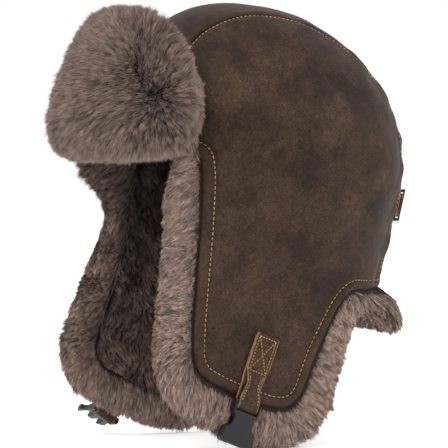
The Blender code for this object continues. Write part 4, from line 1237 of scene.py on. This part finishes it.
def add_quilt(name, base, node):
    normals = normal_at(base)
    ways = base[..., 1] + base[..., 2], base[..., 1] - base[..., 2]
    pillow = math.prod(np.abs(np.sin(way * math.pi / QUILT_PITCH)) for way in ways)
    puffed = (LINING_DEPTH + QUILT_THICKNESS + QUILT_RISE * pillow**0.5)[..., None]
    points, faces = shell(base - normals * LINING_DEPTH, QUILT_THICKNESS, normals)
    points[pillow.size :] = (base - normals * puffed).reshape(-1, 3)
    obj = new_mesh(name, points, faces, LINING, "root")
    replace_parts(obj, node)


# ---------------------------------------------------------------- camera, light and floor


def build_stage(lowest):
    """White surroundings and a pale floor at that height."""
    world = bpy.data.worlds.new("studio")
    world.use_nodes = True
    world.node_tree.nodes["Background"].inputs["Color"].default_value = (1.0, 1.0, 1.0, 1.0)
    bpy.context.scene.world = world
    bpy.context.scene.view_settings.view_transform = "Standard"
    white, pale = (1.0, 1.0, 1.0, 1.0), (0.95, 0.95, 0.95, 1.0)
    paper = {"Roughness": 0.9, "Specular_IOR_Level": 0.0, "Base_Color": pale}
    material = start_material("floor_paper", Emission_Color=white, Emission_Strength=0.45, **paper)[0]
    floor = bpy.data.meshes.new("floor")
    corners = [(x * FLOOR_REACH, y * FLOOR_REACH, lowest) for x, y in ((-1, -1), (1, -1), (1, 1), (-1, 1))]
    floor.from_pydata(corners, [], [(0, 1, 2, 3)])
    floor.materials.append(material)
    placed("floor", floor)


def direction(azimuth, elevation):
    """From the hat towards a place at those angles, in degrees; azimuth 0 is in front of the hat."""
    a, e = math.radians(azimuth), math.radians(elevation)
    return Vector((math.sin(a) * math.cos(e), -math.cos(a) * math.cos(e), math.sin(e)))


def build_camera():
    azimuth, away = math.radians(CAMERA_AZIMUTH), direction(CAMERA_AZIMUTH, CAMERA_ELEVATION)
    right = Vector((math.cos(azimuth), math.sin(azimuth), 0.0))
    camera = placed("camera", bpy.data.cameras.new("camera"))
    aim = right * CAMERA_AIM[0] + Vector((0.0, 0.0, CAMERA_AIM[1]))
    camera.location = aim + away * CAMERA_DISTANCE
    camera.rotation_euler = away.to_track_quat("Z", "Y").to_euler()
    camera.data.lens = CAMERA_LENS
    bpy.context.scene.camera = camera


def add_light(name, azimuth, elevation, distance, size, power):
    """A soft square light that faces the hat."""
    light = bpy.data.lights.new(name, "AREA")
    light.size, light.energy = size, power
    obj = placed(name, light)
    away = direction(azimuth, elevation)
    obj.location = away * distance
    obj.rotation_euler = away.to_track_quat("Z", "Y").to_euler()


def build_hat():
    """Every piece of the hat, then the finish of the CAD parts that stay in view."""
    build_side_leather()
    build_centre_strip()
    build_stitches()
    for side in SIDES:
        build_strap(side)
    build_adjuster()
    build_sweatband()
    build_edge_fur()
    build_visor()
    build_lining_fur()
    build_lining()
    for name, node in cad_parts.items():
        node.data.materials.clear()
        plastic = name.startswith(("buckle", "plug")) or name == "adjuster_ring"
        node.data.materials.append(PLASTIC if plastic else TRIM_LEATHER)


build_camera()
build_hat()
build_stage(cad_box[0][2] - FLOOR_GAP)
for light in LIGHTS:
    add_light(*light)
